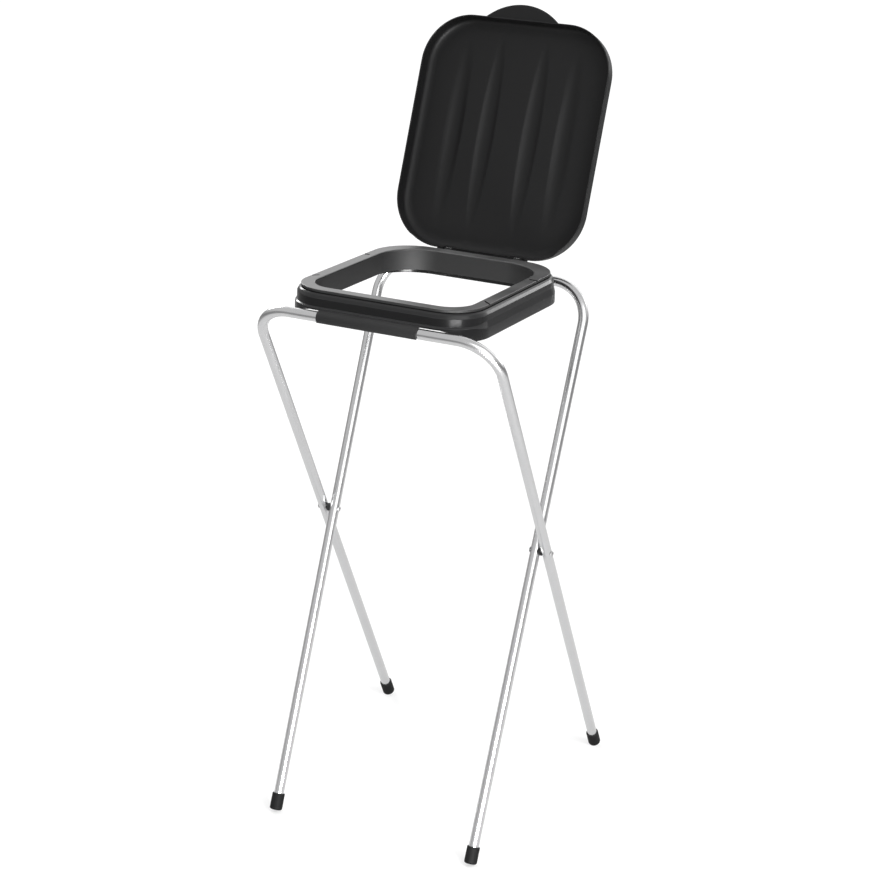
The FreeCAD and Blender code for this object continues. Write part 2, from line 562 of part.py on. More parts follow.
def lid():
    """Lid: dished shell with an elliptical shoulder, four flutes, a finger tab and knuckles."""
    outside = stack(lid_outline, crown(0, 0, LID_TOP))
    inside = stack(lid_outline, crown(LID_WALL, LID_WALL, LID_HEADROOM))
    above = box(-LID_HALF, LID_HALF, LID_FRONT, LID_BACK, LID_HEADROOM, LID_TOP + 2 * FLUTE_HEIGHT)
    below = box(-LID_HALF, LID_HALF, LID_FRONT, LID_BACK, -FLUTE_AXIS_DEPTH, LID_HEADROOM)
    for x, length in FLUTES:
        outside = outside.fuse(flute(x, length, 0).common(above))
        inside = inside.fuse(flute(x, length, LID_WALL).cut(below))
    tab_radius = (TAB_HALF_WIDTH ** 2 + TAB_REACH ** 2) / (2 * TAB_REACH)
    tab = Part.makeCylinder(tab_radius, TAB_THICKNESS,
                            Vector(0, LID_FRONT - TAB_REACH + tab_radius, LID_RIM))
    tab = tab.common(box(-TAB_HALF_WIDTH - 5, TAB_HALF_WIDTH + 5, LID_FRONT - TAB_REACH - 1,
                         LID_FRONT + LID_WALL / 2, LID_RIM, LID_RIM + TAB_THICKNESS))
    relief = box(-REAR_RIM_RELIEF_HALF, REAR_RIM_RELIEF_HALF, LID_BACK - 15, LID_BACK + 1,
                 LID_RIM - 1, LID_RIM + REAR_RIM_RELIEF)
    rear_rim = LID_RIM + REAR_RIM_RELIEF
    lip = box(-REAR_LIP_HALF, REAR_LIP_HALF, LID_BACK - LID_WALL + 0.3, HINGE_Y + REAR_LIP_REACH,
              rear_rim, rear_rim + REAR_LIP_THICKNESS)
    shell = outside.cut(inside).fuse(tab).cut(relief).fuse(lip)
    for hand in (-1, 1):
        shell = shell.fuse(lid_knuckles(hand))
        half = COLLAR_KNUCKLE / 2 + KNUCKLE_GAP
        middle = hand * HINGE_SPACING / 2
        room = KNUCKLE_RADIUS + HINGE_CLEARANCE
        shell = shell.cut(box(middle - half, middle + half, HINGE_Y - 3 * room,
                              HINGE_Y + REAR_LIP_REACH + 1, LID_RIM - 1, -HINGE_DROP + room))
    return shell.cut(pin_holes(PIN_FIT)).removeSplitter()


def lid_placement():
    """From the shut lid in the collar frame to the open lid in its place."""
    hinge = Vector(0, HINGE_Y, -HINGE_DROP)
    opened = Placement(ORIGIN, Rotation(X_AXIS, -LID_OPEN_ANGLE), hinge)
    return collar_placement().multiply(opened)


def hinge_pin(hand):
    """Straight steel pin through one hinge."""
    half = COLLAR_KNUCKLE / 2 + KNUCKLE_GAP + LID_KNUCKLE
    middle = hand * HINGE_SPACING / 2
    pin = x_cylinder(PIN_DIAMETER / 2, middle - half, middle + half, HINGE_Y, -HINGE_DROP)
    return pin


def placed(shape, placement):
    """Shape moved by a placement, with its own geometry transformed."""
    shape = shape.copy()
    shape.Placement = placement.multiply(shape.Placement)
    return shape


os.makedirs("parts", exist_ok=True)
write(leg_frame(FRONT_FRAME), "front_leg_frame")
write(leg_frame(REAR_FRAME), "rear_leg_frame")
for hand, hand_name in ((-1, "left"), (1, "right")):
    write(foot_cap(FRONT_FRAME, hand), "foot_cap_rear_" + hand_name)
    write(foot_cap(REAR_FRAME, hand), "foot_cap_front_" + hand_name)
    write(rivet(hand), "pivot_rivet_" + hand_name)
    write(pivot_spacer(hand), "pivot_spacer_" + hand_name)
    write(placed(hinge_pin(hand), collar_placement()), "lid_hinge_pin_" + hand_name)
write(placed(base_collar(), collar_placement()), "base_collar")
write(placed(clamp_ring(), collar_placement()), "clamp_ring")
write(placed(front_clip(), collar_placement()), "front_bar_clip")
write(placed(lid(), lid_placement()), "lid")
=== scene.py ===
# %% [markdown]
# # Looks for a folding bin bag holder
# The holder is two crossed frames of bright plated steel tube, a black moulded collar that
# grips the mouth of a bag, and a fluted lid that stands open. The CAD model is the fixed
# frame: it says where every piece is and how it moves. Here the mouldings and the tubes are
# drawn again with the soft edges and finishes that light shows up.
# Lengths are written in millimetres, as on a drawing, and turned into metres at the end.

# %% Load the frame
import json
import math

import bpy
import numpy as np
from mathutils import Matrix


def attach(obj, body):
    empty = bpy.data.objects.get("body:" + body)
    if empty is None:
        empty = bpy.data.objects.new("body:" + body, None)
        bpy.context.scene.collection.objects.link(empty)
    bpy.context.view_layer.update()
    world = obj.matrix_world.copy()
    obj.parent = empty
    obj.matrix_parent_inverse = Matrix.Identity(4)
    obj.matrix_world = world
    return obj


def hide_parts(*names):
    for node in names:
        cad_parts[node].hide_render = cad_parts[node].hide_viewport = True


MM = 0.001
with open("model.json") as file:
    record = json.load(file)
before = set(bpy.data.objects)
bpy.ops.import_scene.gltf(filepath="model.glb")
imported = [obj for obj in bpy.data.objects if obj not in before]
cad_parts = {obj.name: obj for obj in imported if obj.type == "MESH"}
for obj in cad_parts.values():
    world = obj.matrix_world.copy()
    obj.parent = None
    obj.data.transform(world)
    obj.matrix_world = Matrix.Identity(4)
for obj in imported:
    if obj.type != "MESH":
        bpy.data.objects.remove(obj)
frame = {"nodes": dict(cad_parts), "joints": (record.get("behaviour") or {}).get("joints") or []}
nodes = frame["nodes"]
joints = {j["name"]: np.array(j["pos_m"]) / MM for j in frame["joints"]}
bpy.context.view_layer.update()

# %% [markdown]
# ## The collar's own frame
# The collar hangs on the rear frame's bar and rests on the front one, a little lower at the
# back. It is easiest to draw it level, with its origin over the rear bar at the height of the
# flange, and to tilt the finished points. The tilt comes from the CAD's two rear hinges: the
# direction from the bar to the lid's hinge is known in both frames.

# %% From the collar's frame to the room
REAR_BAR_DROP = 32.3        # rear bar's axis below the flange top
HINGE_Y, HINGE_Z = -9.9, -6.8
LID_OPEN_ANGLE = 109.0

rear_bar = joints["collar_swing"]
lid_hinge = joints["lid_hinge"]
drawn = math.atan2(HINGE_Z + REAR_BAR_DROP, HINGE_Y)
standing = math.atan2(lid_hinge[2] - rear_bar[2], lid_hinge[1] - rear_bar[1])
TILT = drawn - standing
print("the collar leans back by", round(math.degrees(TILT), 2), "degrees")


def turned(points, angle, y=0.0, z=0.0):
    """Points turned about X through (y, z): y' = y cos a - z sin a, z' = y sin a + z cos a."""
    c, s = math.cos(angle), math.sin(angle)
    out = np.array(points, float)
    dy, dz = out[..., 1] - y, out[..., 2] - z
    out[..., 1] = y + dy * c - dz * s
    out[..., 2] = z + dy * s + dz * c
    return out


def from_collar(points):
    """Collar frame to room: turn by the tilt about the rear bar, then move the bar to its place."""
    return turned(points, -TILT, 0, -REAR_BAR_DROP) + [0, rear_bar[1], rear_bar[2] + REAR_BAR_DROP]


def from_lid(points):
    """Shut lid, drawn in the collar frame, to the open lid in the room."""
    return from_collar(turned(points, -math.radians(LID_OPEN_ANGLE), HINGE_Y, HINGE_Z))


# %% [markdown]
# ## Tools for moulded shapes
# Nearly every piece is a profile carried round an outline. Points are worked out as one array
# on a grid, and the grid is joined into four-sided faces. A moulding has no knife edges, so a
# profile is written as corners, each with its own radius, and the radii become short arcs.
# The middle of each outward arc is remembered as an edge: wear and shine gather there.

# %% Profiles with rounded corners
ARC_STEPS = 5


def rounded_profile(corners):
    """Closed profile through (u, z, radius) corners, with each corner replaced by an arc.

    The arc's centre lies on the corner's bisector at radius / sin(half angle), and its points
    turn evenly from one side's normal to the other's. Returns the points and an edge value
    that is 1 at the middle of a convex arc and 0 at its ends.
    """
    corners = np.array(corners, float)
    p, r = corners[:, :2], corners[:, 2:]
    a = np.roll(p, 1, 0) - p
    b = np.roll(p, -1, 0) - p
    a /= np.linalg.norm(a, axis=1, keepdims=True)
    b /= np.linalg.norm(b, axis=1, keepdims=True)
    half = np.arccos(np.clip((a * b).sum(1, keepdims=True), -1, 1)) / 2
    bisector = (a + b) / np.linalg.norm(a + b, axis=1, keepdims=True)
    centre = p + bisector * r / np.sin(half)
    start = p + a * r / np.tan(half) - centre
    end = p + b * r / np.tan(half) - centre
    sweep = math.pi - 2 * half
    t = np.linspace(0, 1, ARC_STEPS + 1)[None, :, None]
    s = sweep[:, None]
    arc = (np.sin((1 - t) * s) * start[:, None] + np.sin(t * s) * end[:, None]) / np.sin(s)
    points = (centre[:, None] + arc).reshape(-1, 2)
    area = 0.5 * np.sum(p[:, 0] * np.roll(p[:, 1], -1) - np.roll(p[:, 0], -1) * p[:, 1])
    cross = a[:, :1] * b[:, 1:] - a[:, 1:] * b[:, :1]
    convex = (cross * area < 0).astype(float)
    edge = (np.sin(np.pi * t[..., 0]) * convex).reshape(-1)
    return points, edge


# %% Grids of points into meshes
def grid_faces(rows, columns, wrap_rows=True, wrap_columns=True):
    """Quads (i, j), (i + 1, j), (i + 1, j + 1), (i, j + 1) of a grid, going round where wrapped."""
    i = np.arange(rows if wrap_rows else rows - 1)
    j = np.arange(columns if wrap_columns else columns - 1)
    i, j = np.meshgrid(i, j, indexing="ij")
    i2, j2 = (i + 1) % rows, (j + 1) % columns
    quads = [i * columns + j, i2 * columns + j, i2 * columns + j2, i * columns + j2]
    return np.stack(quads, -1).reshape(-1, 4)


def volume(points, quads):
    """Signed volume inside the faces: the sum of a . (b x c) / 6 over both halves of each quad."""
    a, b, c, d = (points[quads[:, k]] for k in range(4))
    halves = np.einsum("ij,ij->i", a, np.cross(b, c)) + np.einsum("ij,ij->i", a, np.cross(c, d))
    return halves.sum() / 6


def moulding(name, points, quads, caps=(), edge=None, shade_and_dull=None, sharp=45):
    """Object from room points in millimetres. Faces are turned outward by the sign of the volume.

    Two masks per point are read by the finish: rubbed edges, and painted shade with dull gloss.
    """
    points = np.asarray(points, float).reshape(-1, 3)
    if volume(points, quads) < 0:
        quads = quads[:, ::-1]
    mesh = bpy.data.meshes.new(name)
    mesh.from_pydata((points * MM).tolist(), [], quads.tolist() + [list(c) for c in caps])
    mesh.validate()
    mesh.shade_smooth()
    mesh.set_sharp_from_angle(angle=math.radians(sharp))
    for layer, values in (("edge", edge), ("shade_and_dull", shade_and_dull)):
        if values is not None:
            painted = mesh.attributes.new(layer, "FLOAT", "POINT")
            painted.data.foreach_set("value", np.asarray(values, np.float32).reshape(-1))
    piece = bpy.data.objects.new(name, mesh)
    bpy.context.scene.collection.objects.link(piece)
    print(name, len(mesh.vertices), "points,", len(mesh.polygons), "faces")
    return piece


def bar_along_x(name, profile, x0, x1, place, edge=None, round_end=0.5):
    """Closed profile in Y-Z carried along X, drawn in a little at both ends, and capped.

    The profile shrinks towards its own middle by a quarter circle: at distance d from an end,
    the pull is 1 - sqrt(1 - (1 - d / round)^2) times the rounding.
    """
    d = np.array([0, 0.1, 0.3, 0.6, 1.0]) * round_end
    pull = round_end * (1 - np.sqrt(1 - (1 - d / round_end) ** 2))
    x = np.concatenate([x0 + d, [(x0 + x1) / 2], (x1 - d)[::-1]])
    pull = np.concatenate([pull, [0], pull[::-1]])
    before, after = np.roll(profile, 1, 0), np.roll(profile, -1, 0)
    along = after - before
    along /= np.maximum(np.linalg.norm(along, axis=1, keepdims=True), 1e-9)
    area = 0.5 * np.sum(profile[:, 0] * np.roll(profile[:, 1], -1)
                        - np.roll(profile[:, 0], -1) * profile[:, 1])
    inward = np.stack([-along[:, 1], along[:, 0]], -1) * np.sign(area)
    ring = profile[None] + inward[None] * pull[:, None, None]
    points = np.concatenate([np.broadcast_to(x[:, None, None], ring.shape[:2] + (1,)), ring], -1)
    n = len(profile)
    quads = grid_faces(len(x), n, wrap_rows=False)
    room = place(points).reshape(-1, 3)
    outward = volume(room, quads) > 0
    first, last = list(range(n)), list(range((len(x) - 1) * n, len(x) * n))
    caps = [first[::-1], last] if outward else [first, last[::-1]]
    wear = None if edge is None else np.broadcast_to(edge[None], ring.shape[:2])
    return moulding(name, room, quads, caps, wear, sharp=50)


# %% [markdown]
# ## The outline of the collar
# Seen from above, the bag opening and the flange round it are rectangles with larger rounded
# corners at the back than at the front. Both outlines are walked in step, so that a profile
# can be stretched between them: on the flange it blends from one to the other, and outside
# and inside them it follows the outline's normal.

# %% Two outlines walked in step
OPENING_HALF = 129.5
OPENING_FRONT, OPENING_BACK = -349.6, -49.1
OPENING_RADII = (40.0, 68.0)        # front, back
FLANGE_WIDTH = 19.6
FLANGE_RADII = (55.0, 67.0)
CORNER_STEPS = 36
CLIP_X = (-88.0, 77.0)              # the clip on the front bar, where the skirt is cut higher
BACK_STOPS = np.linspace(-58, 58, 25)
FRONT_STOPS = np.concatenate([[CLIP_X[0] - 0.2, CLIP_X[0]], np.linspace(-84, 73, 31),
                              [CLIP_X[1], CLIP_X[1] + 0.2], [80, 84, 88]])
COLLAR_MIDDLE = (OPENING_FRONT + OPENING_BACK) / 2


def outline(half, front, back, radii, side_stops):
    """Points and outward normals of a rounded rectangle, anticlockwise from its back right corner.

    A corner's point is centre + radius (cos a, sin a) with normal (cos a, sin a). Along the
    straight sides the points stand at the given stops, with the side's own normal.
    """
    rf, rb = radii
    centres = [(half - rb, back - rb, rb), (rb - half, back - rb, rb),
               (rf - half, front + rf, rf), (half - rf, front + rf, rf)]
    points, normals = [], []
    for k, (cx, cy, r) in enumerate(centres):
        a = math.pi / 2 * (k + np.linspace(0, 1, CORNER_STEPS + 1))
        normal = np.stack([np.cos(a), np.sin(a)], -1)
        points.append([cx, cy] + r * normal)
        normals.append(normal)
        stops = (BACK_STOPS[::-1], side_stops[::-1], FRONT_STOPS, side_stops)[k]
        side = {0: back, 1: -half, 2: front, 3: half}[k]
        run = np.stack([stops, np.full(len(stops), side)], -1)
        points.append(run if k in (0, 2) else run[:, ::-1])
        facing = {0: (0, 1), 1: (-1, 0), 2: (0, -1), 3: (1, 0)}[k]
        normals.append(np.broadcast_to(facing, (len(stops), 2)))
    return np.concatenate(points), np.concatenate(normals)


def carried_round(profile, side_stops):
    """Profile of (u, z) carried round the collar, u outward from the opening's outline.

    For u below 0 the point is opening + u n, up to the flange's width it is blended between
    the outlines, and past that it is flange outline + (u - width) n.
    """
    inner, normal = outline(OPENING_HALF, OPENING_FRONT, OPENING_BACK, OPENING_RADII, side_stops)
    outer, _ = outline(OPENING_HALF + FLANGE_WIDTH, OPENING_FRONT - FLANGE_WIDTH,
                       OPENING_BACK + FLANGE_WIDTH, FLANGE_RADII, side_stops)
    u, z = profile[:, 0], profile[:, 1]
    share = np.clip(u / FLANGE_WIDTH, 0, 1)[None, :, None]
    past = (np.minimum(u, 0) + np.maximum(u - FLANGE_WIDTH, 0))[None, :, None]
    flat = inner[:, None] * (1 - share) + outer[:, None] * share + normal[:, None] * past
    height = np.broadcast_to(z, flat.shape[:2])[..., None]
    return np.concatenate([flat, height], -1)


SIDE_STOPS = np.linspace(-305, -120, 40)
print("outline stations", len(outline(1000, -1000, 1000, (9, 9), SIDE_STOPS)[0]))

# %% [markdown]
# ## Finishes
# Four things make moulded black plastic look real: a fine spark-eroded grain, a slight change
# of gloss from place to place, edges rubbed smoother and paler, and a little dust on faces
# that look up. Set high on the clamp ring, that lightening of up-facing faces is a painted
# sheen on its flange top. A mask also paints shade, near black, into slits and recesses and
# dulls their gloss. Each is wanted on several pieces, so they are built once as a node group
# that puts out a colour, a roughness and a height. The shader itself stays in each material.

# %% A node group for moulded plastic
def group_socket(tree, name, way="INPUT", kind="Float", value=None):
    """A named socket on a node group, a colour where its value is one."""
    kind = "Color" if isinstance(value, tuple) else kind
    socket = tree.interface.new_socket(name, in_out=way, socket_type="NodeSocket" + kind)
    if value is not None:
        socket.default_value = value


def blank(owner):
    """The empty node tree of a material or world."""
    owner.use_nodes = True
    owner.node_tree.nodes.clear()
    return owner.node_tree


def add(tree, kind, place, **settings):
    """A node of that kind at a grid place, with its settings."""
    node = tree.nodes.new(kind)
    node.location = (place[0] * 190, place[1] * -190)
    for key, value in settings.items():
        setattr(node, key, value)
    return node


def maths(tree, operation, place, a, b=None, clamp=False):
    """A Math node fed by sockets or plain numbers."""
    node = add(tree, "ShaderNodeMath", place, operation=operation, use_clamp=clamp)
    for k, value in enumerate((a, b)):
        if value is None:
            continue
        if isinstance(value, (int, float)):
            node.inputs[k].default_value = value
        else:
            tree.links.new(value, node.inputs[k])
    return node.outputs[0]


def noise(tree, place, vector, scale, detail=3.0, rough=0.55):
    """A noise value over Object coordinates."""
    node = add(tree, "ShaderNodeTexNoise", place)
    node.inputs["Detail"].default_value = detail
    node.inputs["Roughness"].default_value = rough
    if isinstance(scale, (int, float)):
        node.inputs["Scale"].default_value = scale
    else:
        tree.links.new(scale, node.inputs["Scale"])
    tree.links.new(vector, node.inputs["Vector"])
    return node.outputs["Fac"]


def colour_mix(tree, place, factor, a, b, blend="MIX"):
    """A colour mix fed by sockets or colours."""
    node = add(tree, "ShaderNodeMix", place, data_type="RGBA", blend_type=blend)
    sockets = node.inputs["Factor"], node.inputs[6], node.inputs[7]
    for socket, value in zip(sockets, (factor, a, b)):
        if isinstance(value, (int, float, tuple)):
            socket.default_value = value
        else:
            tree.links.new(value, socket)
    return node.outputs[2]


def plastic_group():
    """Moulded plastic: colour, roughness, height from grain, gloss patches, wear, dust, painted
    sheen, painted shade.
    """
    tree = bpy.data.node_groups.new("moulded_plastic", "ShaderNodeTree")
    for name, value in (("Colour", (0.02, 0.02, 0.02, 1)), ("Worn Colour", (0.06, 0.06, 0.06, 1)),
                        ("Roughness", 0.4), ("Gloss Patches", 0.1), ("Grain Scale", 1800.0),
                        ("Edge", 0.0), ("Dust And Sheen", 0.1), ("Scuffs", 0.3), ("Shade_And_Dull", 0.0)):
        group_socket(tree, name, value=value)
    for name, kind in (("Colour", "Color"), ("Roughness", "Float"), ("Height", "Float")):
        group_socket(tree, name, "OUTPUT", kind)
    given = add(tree, "NodeGroupInput", (0, 0))
    made = add(tree, "NodeGroupOutput", (9, 0))
    place = add(tree, "ShaderNodeTexCoord", (0, 3)).outputs["Object"]
    grain = noise(tree, (1, 0), place, given.outputs["Grain Scale"], 2.0)
    patches = noise(tree, (1, 1), place, 14.0, 4.0)
    flow = noise(tree, (1, 2), place, 45.0, 5.0, 0.65)
    long = add(tree, "ShaderNodeMapping", (1, 4))
    long.inputs["Scale"].default_value = (1.0, 0.22, 0.22)
    long.inputs["Rotation"].default_value = (0.3, 0.5, 0.9)
    tree.links.new(place, long.inputs["Vector"])
    fine = noise(tree, (2, 4), long.outputs[0], 900.0, 4.0, 0.7)
    scratch = maths(tree, "SUBTRACT", (3, 4), fine, 0.66)
    scratch = maths(tree, "MULTIPLY", (4, 4), scratch, 9.0, clamp=True)
    scratch = maths(tree, "MULTIPLY", (5, 4), scratch, given.outputs["Scuffs"])
    rubbed = maths(tree, "MULTIPLY", (3, 1), flow, given.outputs["Edge"])
    rubbed = maths(tree, "MULTIPLY", (4, 1), rubbed, 1.5, clamp=True)
    worn = maths(tree, "MAXIMUM", (5, 1), rubbed, maths(tree, "MULTIPLY", (5, 2), scratch, 0.5))
    facing = add(tree, "ShaderNodeSeparateXYZ", (2, 5))
    tree.links.new(add(tree, "ShaderNodeNewGeometry", (1, 5)).outputs["Normal"], facing.inputs[0])
    upward = maths(tree, "SUBTRACT", (3, 5), facing.outputs[2], 0.35)
    upward = maths(tree, "MULTIPLY", (4, 5), upward, 1.5, clamp=True)
    up_facing_patches = maths(tree, "MULTIPLY", (5, 5), upward, patches)
    dust_and_sheen = maths(tree, "MULTIPLY", (6, 5), up_facing_patches, given.outputs["Dust And Sheen"], clamp=True)
    shade = colour_mix(tree, (6, 0), worn, given.outputs["Colour"], given.outputs["Worn Colour"])
    # Dust on up-facing faces lightens the colour; on the clamp ring its high level is a painted
    # sheen
    shade = colour_mix(tree, (7, 0), dust_and_sheen, shade, (0.31, 0.31, 0.31, 1))
    # Painted shade: the shade mask darkens the colour to near black, in slits and recesses
    shade = colour_mix(tree, (8, 0), given.outputs["Shade_And_Dull"], shade, (0.001, 0.001, 0.001, 1))
    swing = maths(tree, "SUBTRACT", (3, 2), patches, 0.5)
    swing = maths(tree, "MULTIPLY", (4, 2), swing, given.outputs["Gloss Patches"])
    rough = maths(tree, "ADD", (6, 2), given.outputs["Roughness"], swing)
    rough = maths(tree, "ADD", (7, 2), rough, maths(tree, "MULTIPLY", (6, 3), dust_and_sheen, 0.5))
    rough = maths(tree, "SUBTRACT", (8, 2), rough, maths(tree, "MULTIPLY", (7, 3), rubbed, 0.12))
    rough = maths(tree, "MAXIMUM", (8, 3), rough, given.outputs["Shade_And_Dull"], clamp=True)
    height = maths(tree, "SUBTRACT", (8, 4), grain, maths(tree, "MULTIPLY", (7, 4), scratch, 0.6))
    tree.links.new(shade, made.inputs["Colour"])
    tree.links.new(rough, made.inputs["Roughness"])
    tree.links.new(height, made.inputs["Height"])
    return tree


PLASTIC = plastic_group()
print("node group", PLASTIC.name, "with", len(PLASTIC.nodes), "nodes")


# %% Black plastics from the group
def plastic(name, colour, worn, rough, patches, grain, bump, dust_and_sheen, scuffs, specular):
    """A moulded plastic with its own colour, gloss, grain, wear, dust and painted sheen, and
    painted shade.
    """
    material = bpy.data.materials.new(name)
    tree = blank(material)
    finish = add(tree, "ShaderNodeGroup", (1, 0), node_tree=PLASTIC)
    for socket, value in (("Colour", (*colour, 1)), ("Worn Colour", (*worn, 1)),
                          ("Roughness", rough), ("Gloss Patches", patches),
                          ("Grain Scale", grain), ("Dust And Sheen", dust_and_sheen), ("Scuffs", scuffs)):
        finish.inputs[socket].default_value = value
    for k, mask in enumerate(("Edge", "Shade_And_Dull")):
        painted = add(tree, "ShaderNodeAttribute", (0, k), attribute_name=mask.lower())
        tree.links.new(painted.outputs["Fac"], finish.inputs[mask])
    shader = add(tree, "ShaderNodeBsdfPrincipled", (3, 0))
    shader.inputs["Specular IOR Level"].default_value = specular
    tree.links.new(finish.outputs["Colour"], shader.inputs["Base Color"])
    tree.links.new(finish.outputs["Roughness"], shader.inputs["Roughness"])
    relief = add(tree, "ShaderNodeBump", (2, 1))
    relief.inputs["Strength"].default_value = bump
    relief.inputs["Distance"].default_value = 0.0002
    tree.links.new(finish.outputs["Height"], relief.inputs["Height"])
    tree.links.new(relief.outputs[0], shader.inputs["Normal"])
    tree.links.new(shader.outputs[0], add(tree, "ShaderNodeOutputMaterial", (4, 0)).inputs[0])
    return material


COLLAR_BLACK = plastic("collar_black", (0.013, 0.013, 0.0135), (0.025, 0.025, 0.026), 0.2, 0.08,
                       2400.0, 0.04, 0.03, 0.2, specular=0.28)
# The clamp ring's dust level of 0.5 paints a sheen on its up-facing flange top
CLAMP_BLACK = plastic("clamp_black", (0.013, 0.013, 0.0135), (0.04, 0.04, 0.041), 0.28, 0.06,
                      2400.0, 0.05, 0.5, 0.25, specular=0.5)
LID_BLACK = plastic("lid_black", (0.0075, 0.0075, 0.0078), (0.018, 0.018, 0.0185), 0.5, 0.08,
                    2000.0, 0.1, 0.05, 0.2, specular=0.18)
CLIP_BLACK = plastic("clip_black", (0.017, 0.017, 0.0175), (0.045, 0.045, 0.045), 0.6, 0.1,
                     1500.0, 0.25, 0.05, 0.4, specular=0.28)
FOOT_BLACK = plastic("foot_black", (0.011, 0.011, 0.0115), (0.05, 0.05, 0.05), 0.68, 0.12,
                     1300.0, 0.25, 0.1, 0.5, specular=0.12)
print("plastics", [m.name for m in (COLLAR_BLACK, CLAMP_BLACK, LID_BLACK, CLIP_BLACK, FOOT_BLACK)])

# %% [markdown]
# ## Plated steel tube
# The tube was drawn through a die and then plated. Drawing leaves faint lines along the tube,
# plating leaves a soft cloudiness, and small dark specks are scattered on it. The lines have
# to follow the bends, so the tube carries its own map: one direction round, one along.

# %% A material for the plated tube
def plated_steel(name, colour, dull, rough, streaks, mapped):
    """Bright plating: streaks along the piece's map, clouds, dark specks, and a fine bump from the
    streaks.
    """
    material = bpy.data.materials.new(name)
    tree = blank(material)
    where = add(tree, "ShaderNodeTexCoord", (0, 0))
    drawn_out = add(tree, "ShaderNodeMapping", (1, 0))
    drawn_out.inputs["Scale"].default_value = (1.0, 0.02, 1.0) if mapped else (1, 1, 1)
    tree.links.new(where.outputs["UV" if mapped else "Object"], drawn_out.inputs["Vector"])
    lines = noise(tree, (2, 0), drawn_out.outputs[0], 260.0 if mapped else 900.0, 5.0, 0.7)
    clouds = noise(tree, (2, 1), where.outputs["Object"], 28.0, 5.0, 0.6)
    specks = noise(tree, (2, 2), where.outputs["Object"], 700.0, 3.0, 0.5)
    speck = maths(tree, "SUBTRACT", (3, 3), specks, 0.67)
    speck = maths(tree, "MULTIPLY", (3, 2), speck, 12.0, clamp=True)
    tone = colour_mix(tree, (4, 0), clouds, (*dull, 1), (*colour, 1))
    tone = colour_mix(tree, (5, 0), maths(tree, "MULTIPLY", (4, 2), speck, 0.35), tone,
                      (0.25, 0.25, 0.25, 1))
    swing = maths(tree, "MULTIPLY", (4, 3), maths(tree, "SUBTRACT", (4, 4), lines, 0.5), streaks)
    cloudy = maths(tree, "MULTIPLY", (5, 3), clouds, 0.12)
    rough_out = maths(tree, "ADD", (6, 3), maths(tree, "ADD", (5, 4), swing, rough), cloudy, True)
    shader = add(tree, "ShaderNodeBsdfPrincipled", (7, 0))
    shader.inputs["Metallic"].default_value = 1.0
    tree.links.new(tone, shader.inputs["Base Color"])
    tree.links.new(rough_out, shader.inputs["Roughness"])
    relief = add(tree, "ShaderNodeBump", (6, 4))
    relief.inputs["Strength"].default_value = 0.03
    relief.inputs["Distance"].default_value = 0.0001
    tree.links.new(lines, relief.inputs["Height"])
    tree.links.new(relief.outputs[0], shader.inputs["Normal"])
    tree.links.new(shader.outputs[0], add(tree, "ShaderNodeOutputMaterial", (8, 0)).inputs[0])
    return material


TUBE_PLATE = plated_steel("tube_plate", (0.58, 0.58, 0.585), (0.54, 0.54, 0.545), 0.17, 0.06, True)
RIVET_STEEL = plated_steel("rivet_steel_finish", (0.5, 0.5, 0.5), (0.38, 0.38, 0.38), 0.25, 0.1,
                           False)
print("metals", TUBE_PLATE.name, RIVET_STEEL.name)


# %% A finished piece takes its place
def finish(piece, material, body, slot, *stands_for):
    """Give a piece its material, the body it moves with and the CAD nodes it stands for."""
    piece.data.materials.clear()
    piece.data.materials.append(material)
    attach(piece, body)
    if stands_for:
        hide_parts(*stands_for)
    return piece


# %% [markdown]
# ## Leg frames
# Each frame is one length of 16 mm tube with two bends of 60 mm radius. The centre line is a
# run of straights and arcs in the frame's own plane, and a ring is carried along it. The
# ring's points are also the tube's map, so the drawing lines run along the legs and round the
# bends.

# %% Sweep a tube
TUBE_RADIUS = 8.0
BEND_RADIUS = 60.0
CAP_FLOOR = 3.0
RING = 48


def frame_line(top, foot, leg):
    """Centre line from one foot to the other: straights and arcs, with the tangent at each point.

    A bend turns by the angle between leg and bar and takes up radius x tan(turn / 2) of each.
    An arc point is centre + radius (sin a, cos a), with a falling from the turn to 0.
    """
    foot_end = np.array([foot / 2, CAP_FLOOR - leg])
    corner = np.array([top / 2, 0.0])
    up = (corner - foot_end) / np.linalg.norm(corner - foot_end)
    turn = math.acos(-up[0])
    reach = BEND_RADIUS * math.tan(turn / 2)
    leg_line = foot_end + (corner - up * reach - foot_end) * np.linspace(0, 1, 60)[:, None]
    a = np.linspace(turn, 0, 30)[1:]
    bend = [corner[0] - reach, -BEND_RADIUS] + BEND_RADIUS * np.stack([np.sin(a), np.cos(a)], -1)
    bar = np.stack([np.linspace(corner[0] - reach, 0, 16)[1:], np.zeros(15)], -1)
    right = np.concatenate([leg_line, bend, bar])
    left = right[:-1][::-1] * [-1, 1]
    line = np.concatenate([right, left])
    tangent = np.gradient(line, axis=0)
    return line, tangent / np.linalg.norm(tangent, axis=1, keepdims=True)


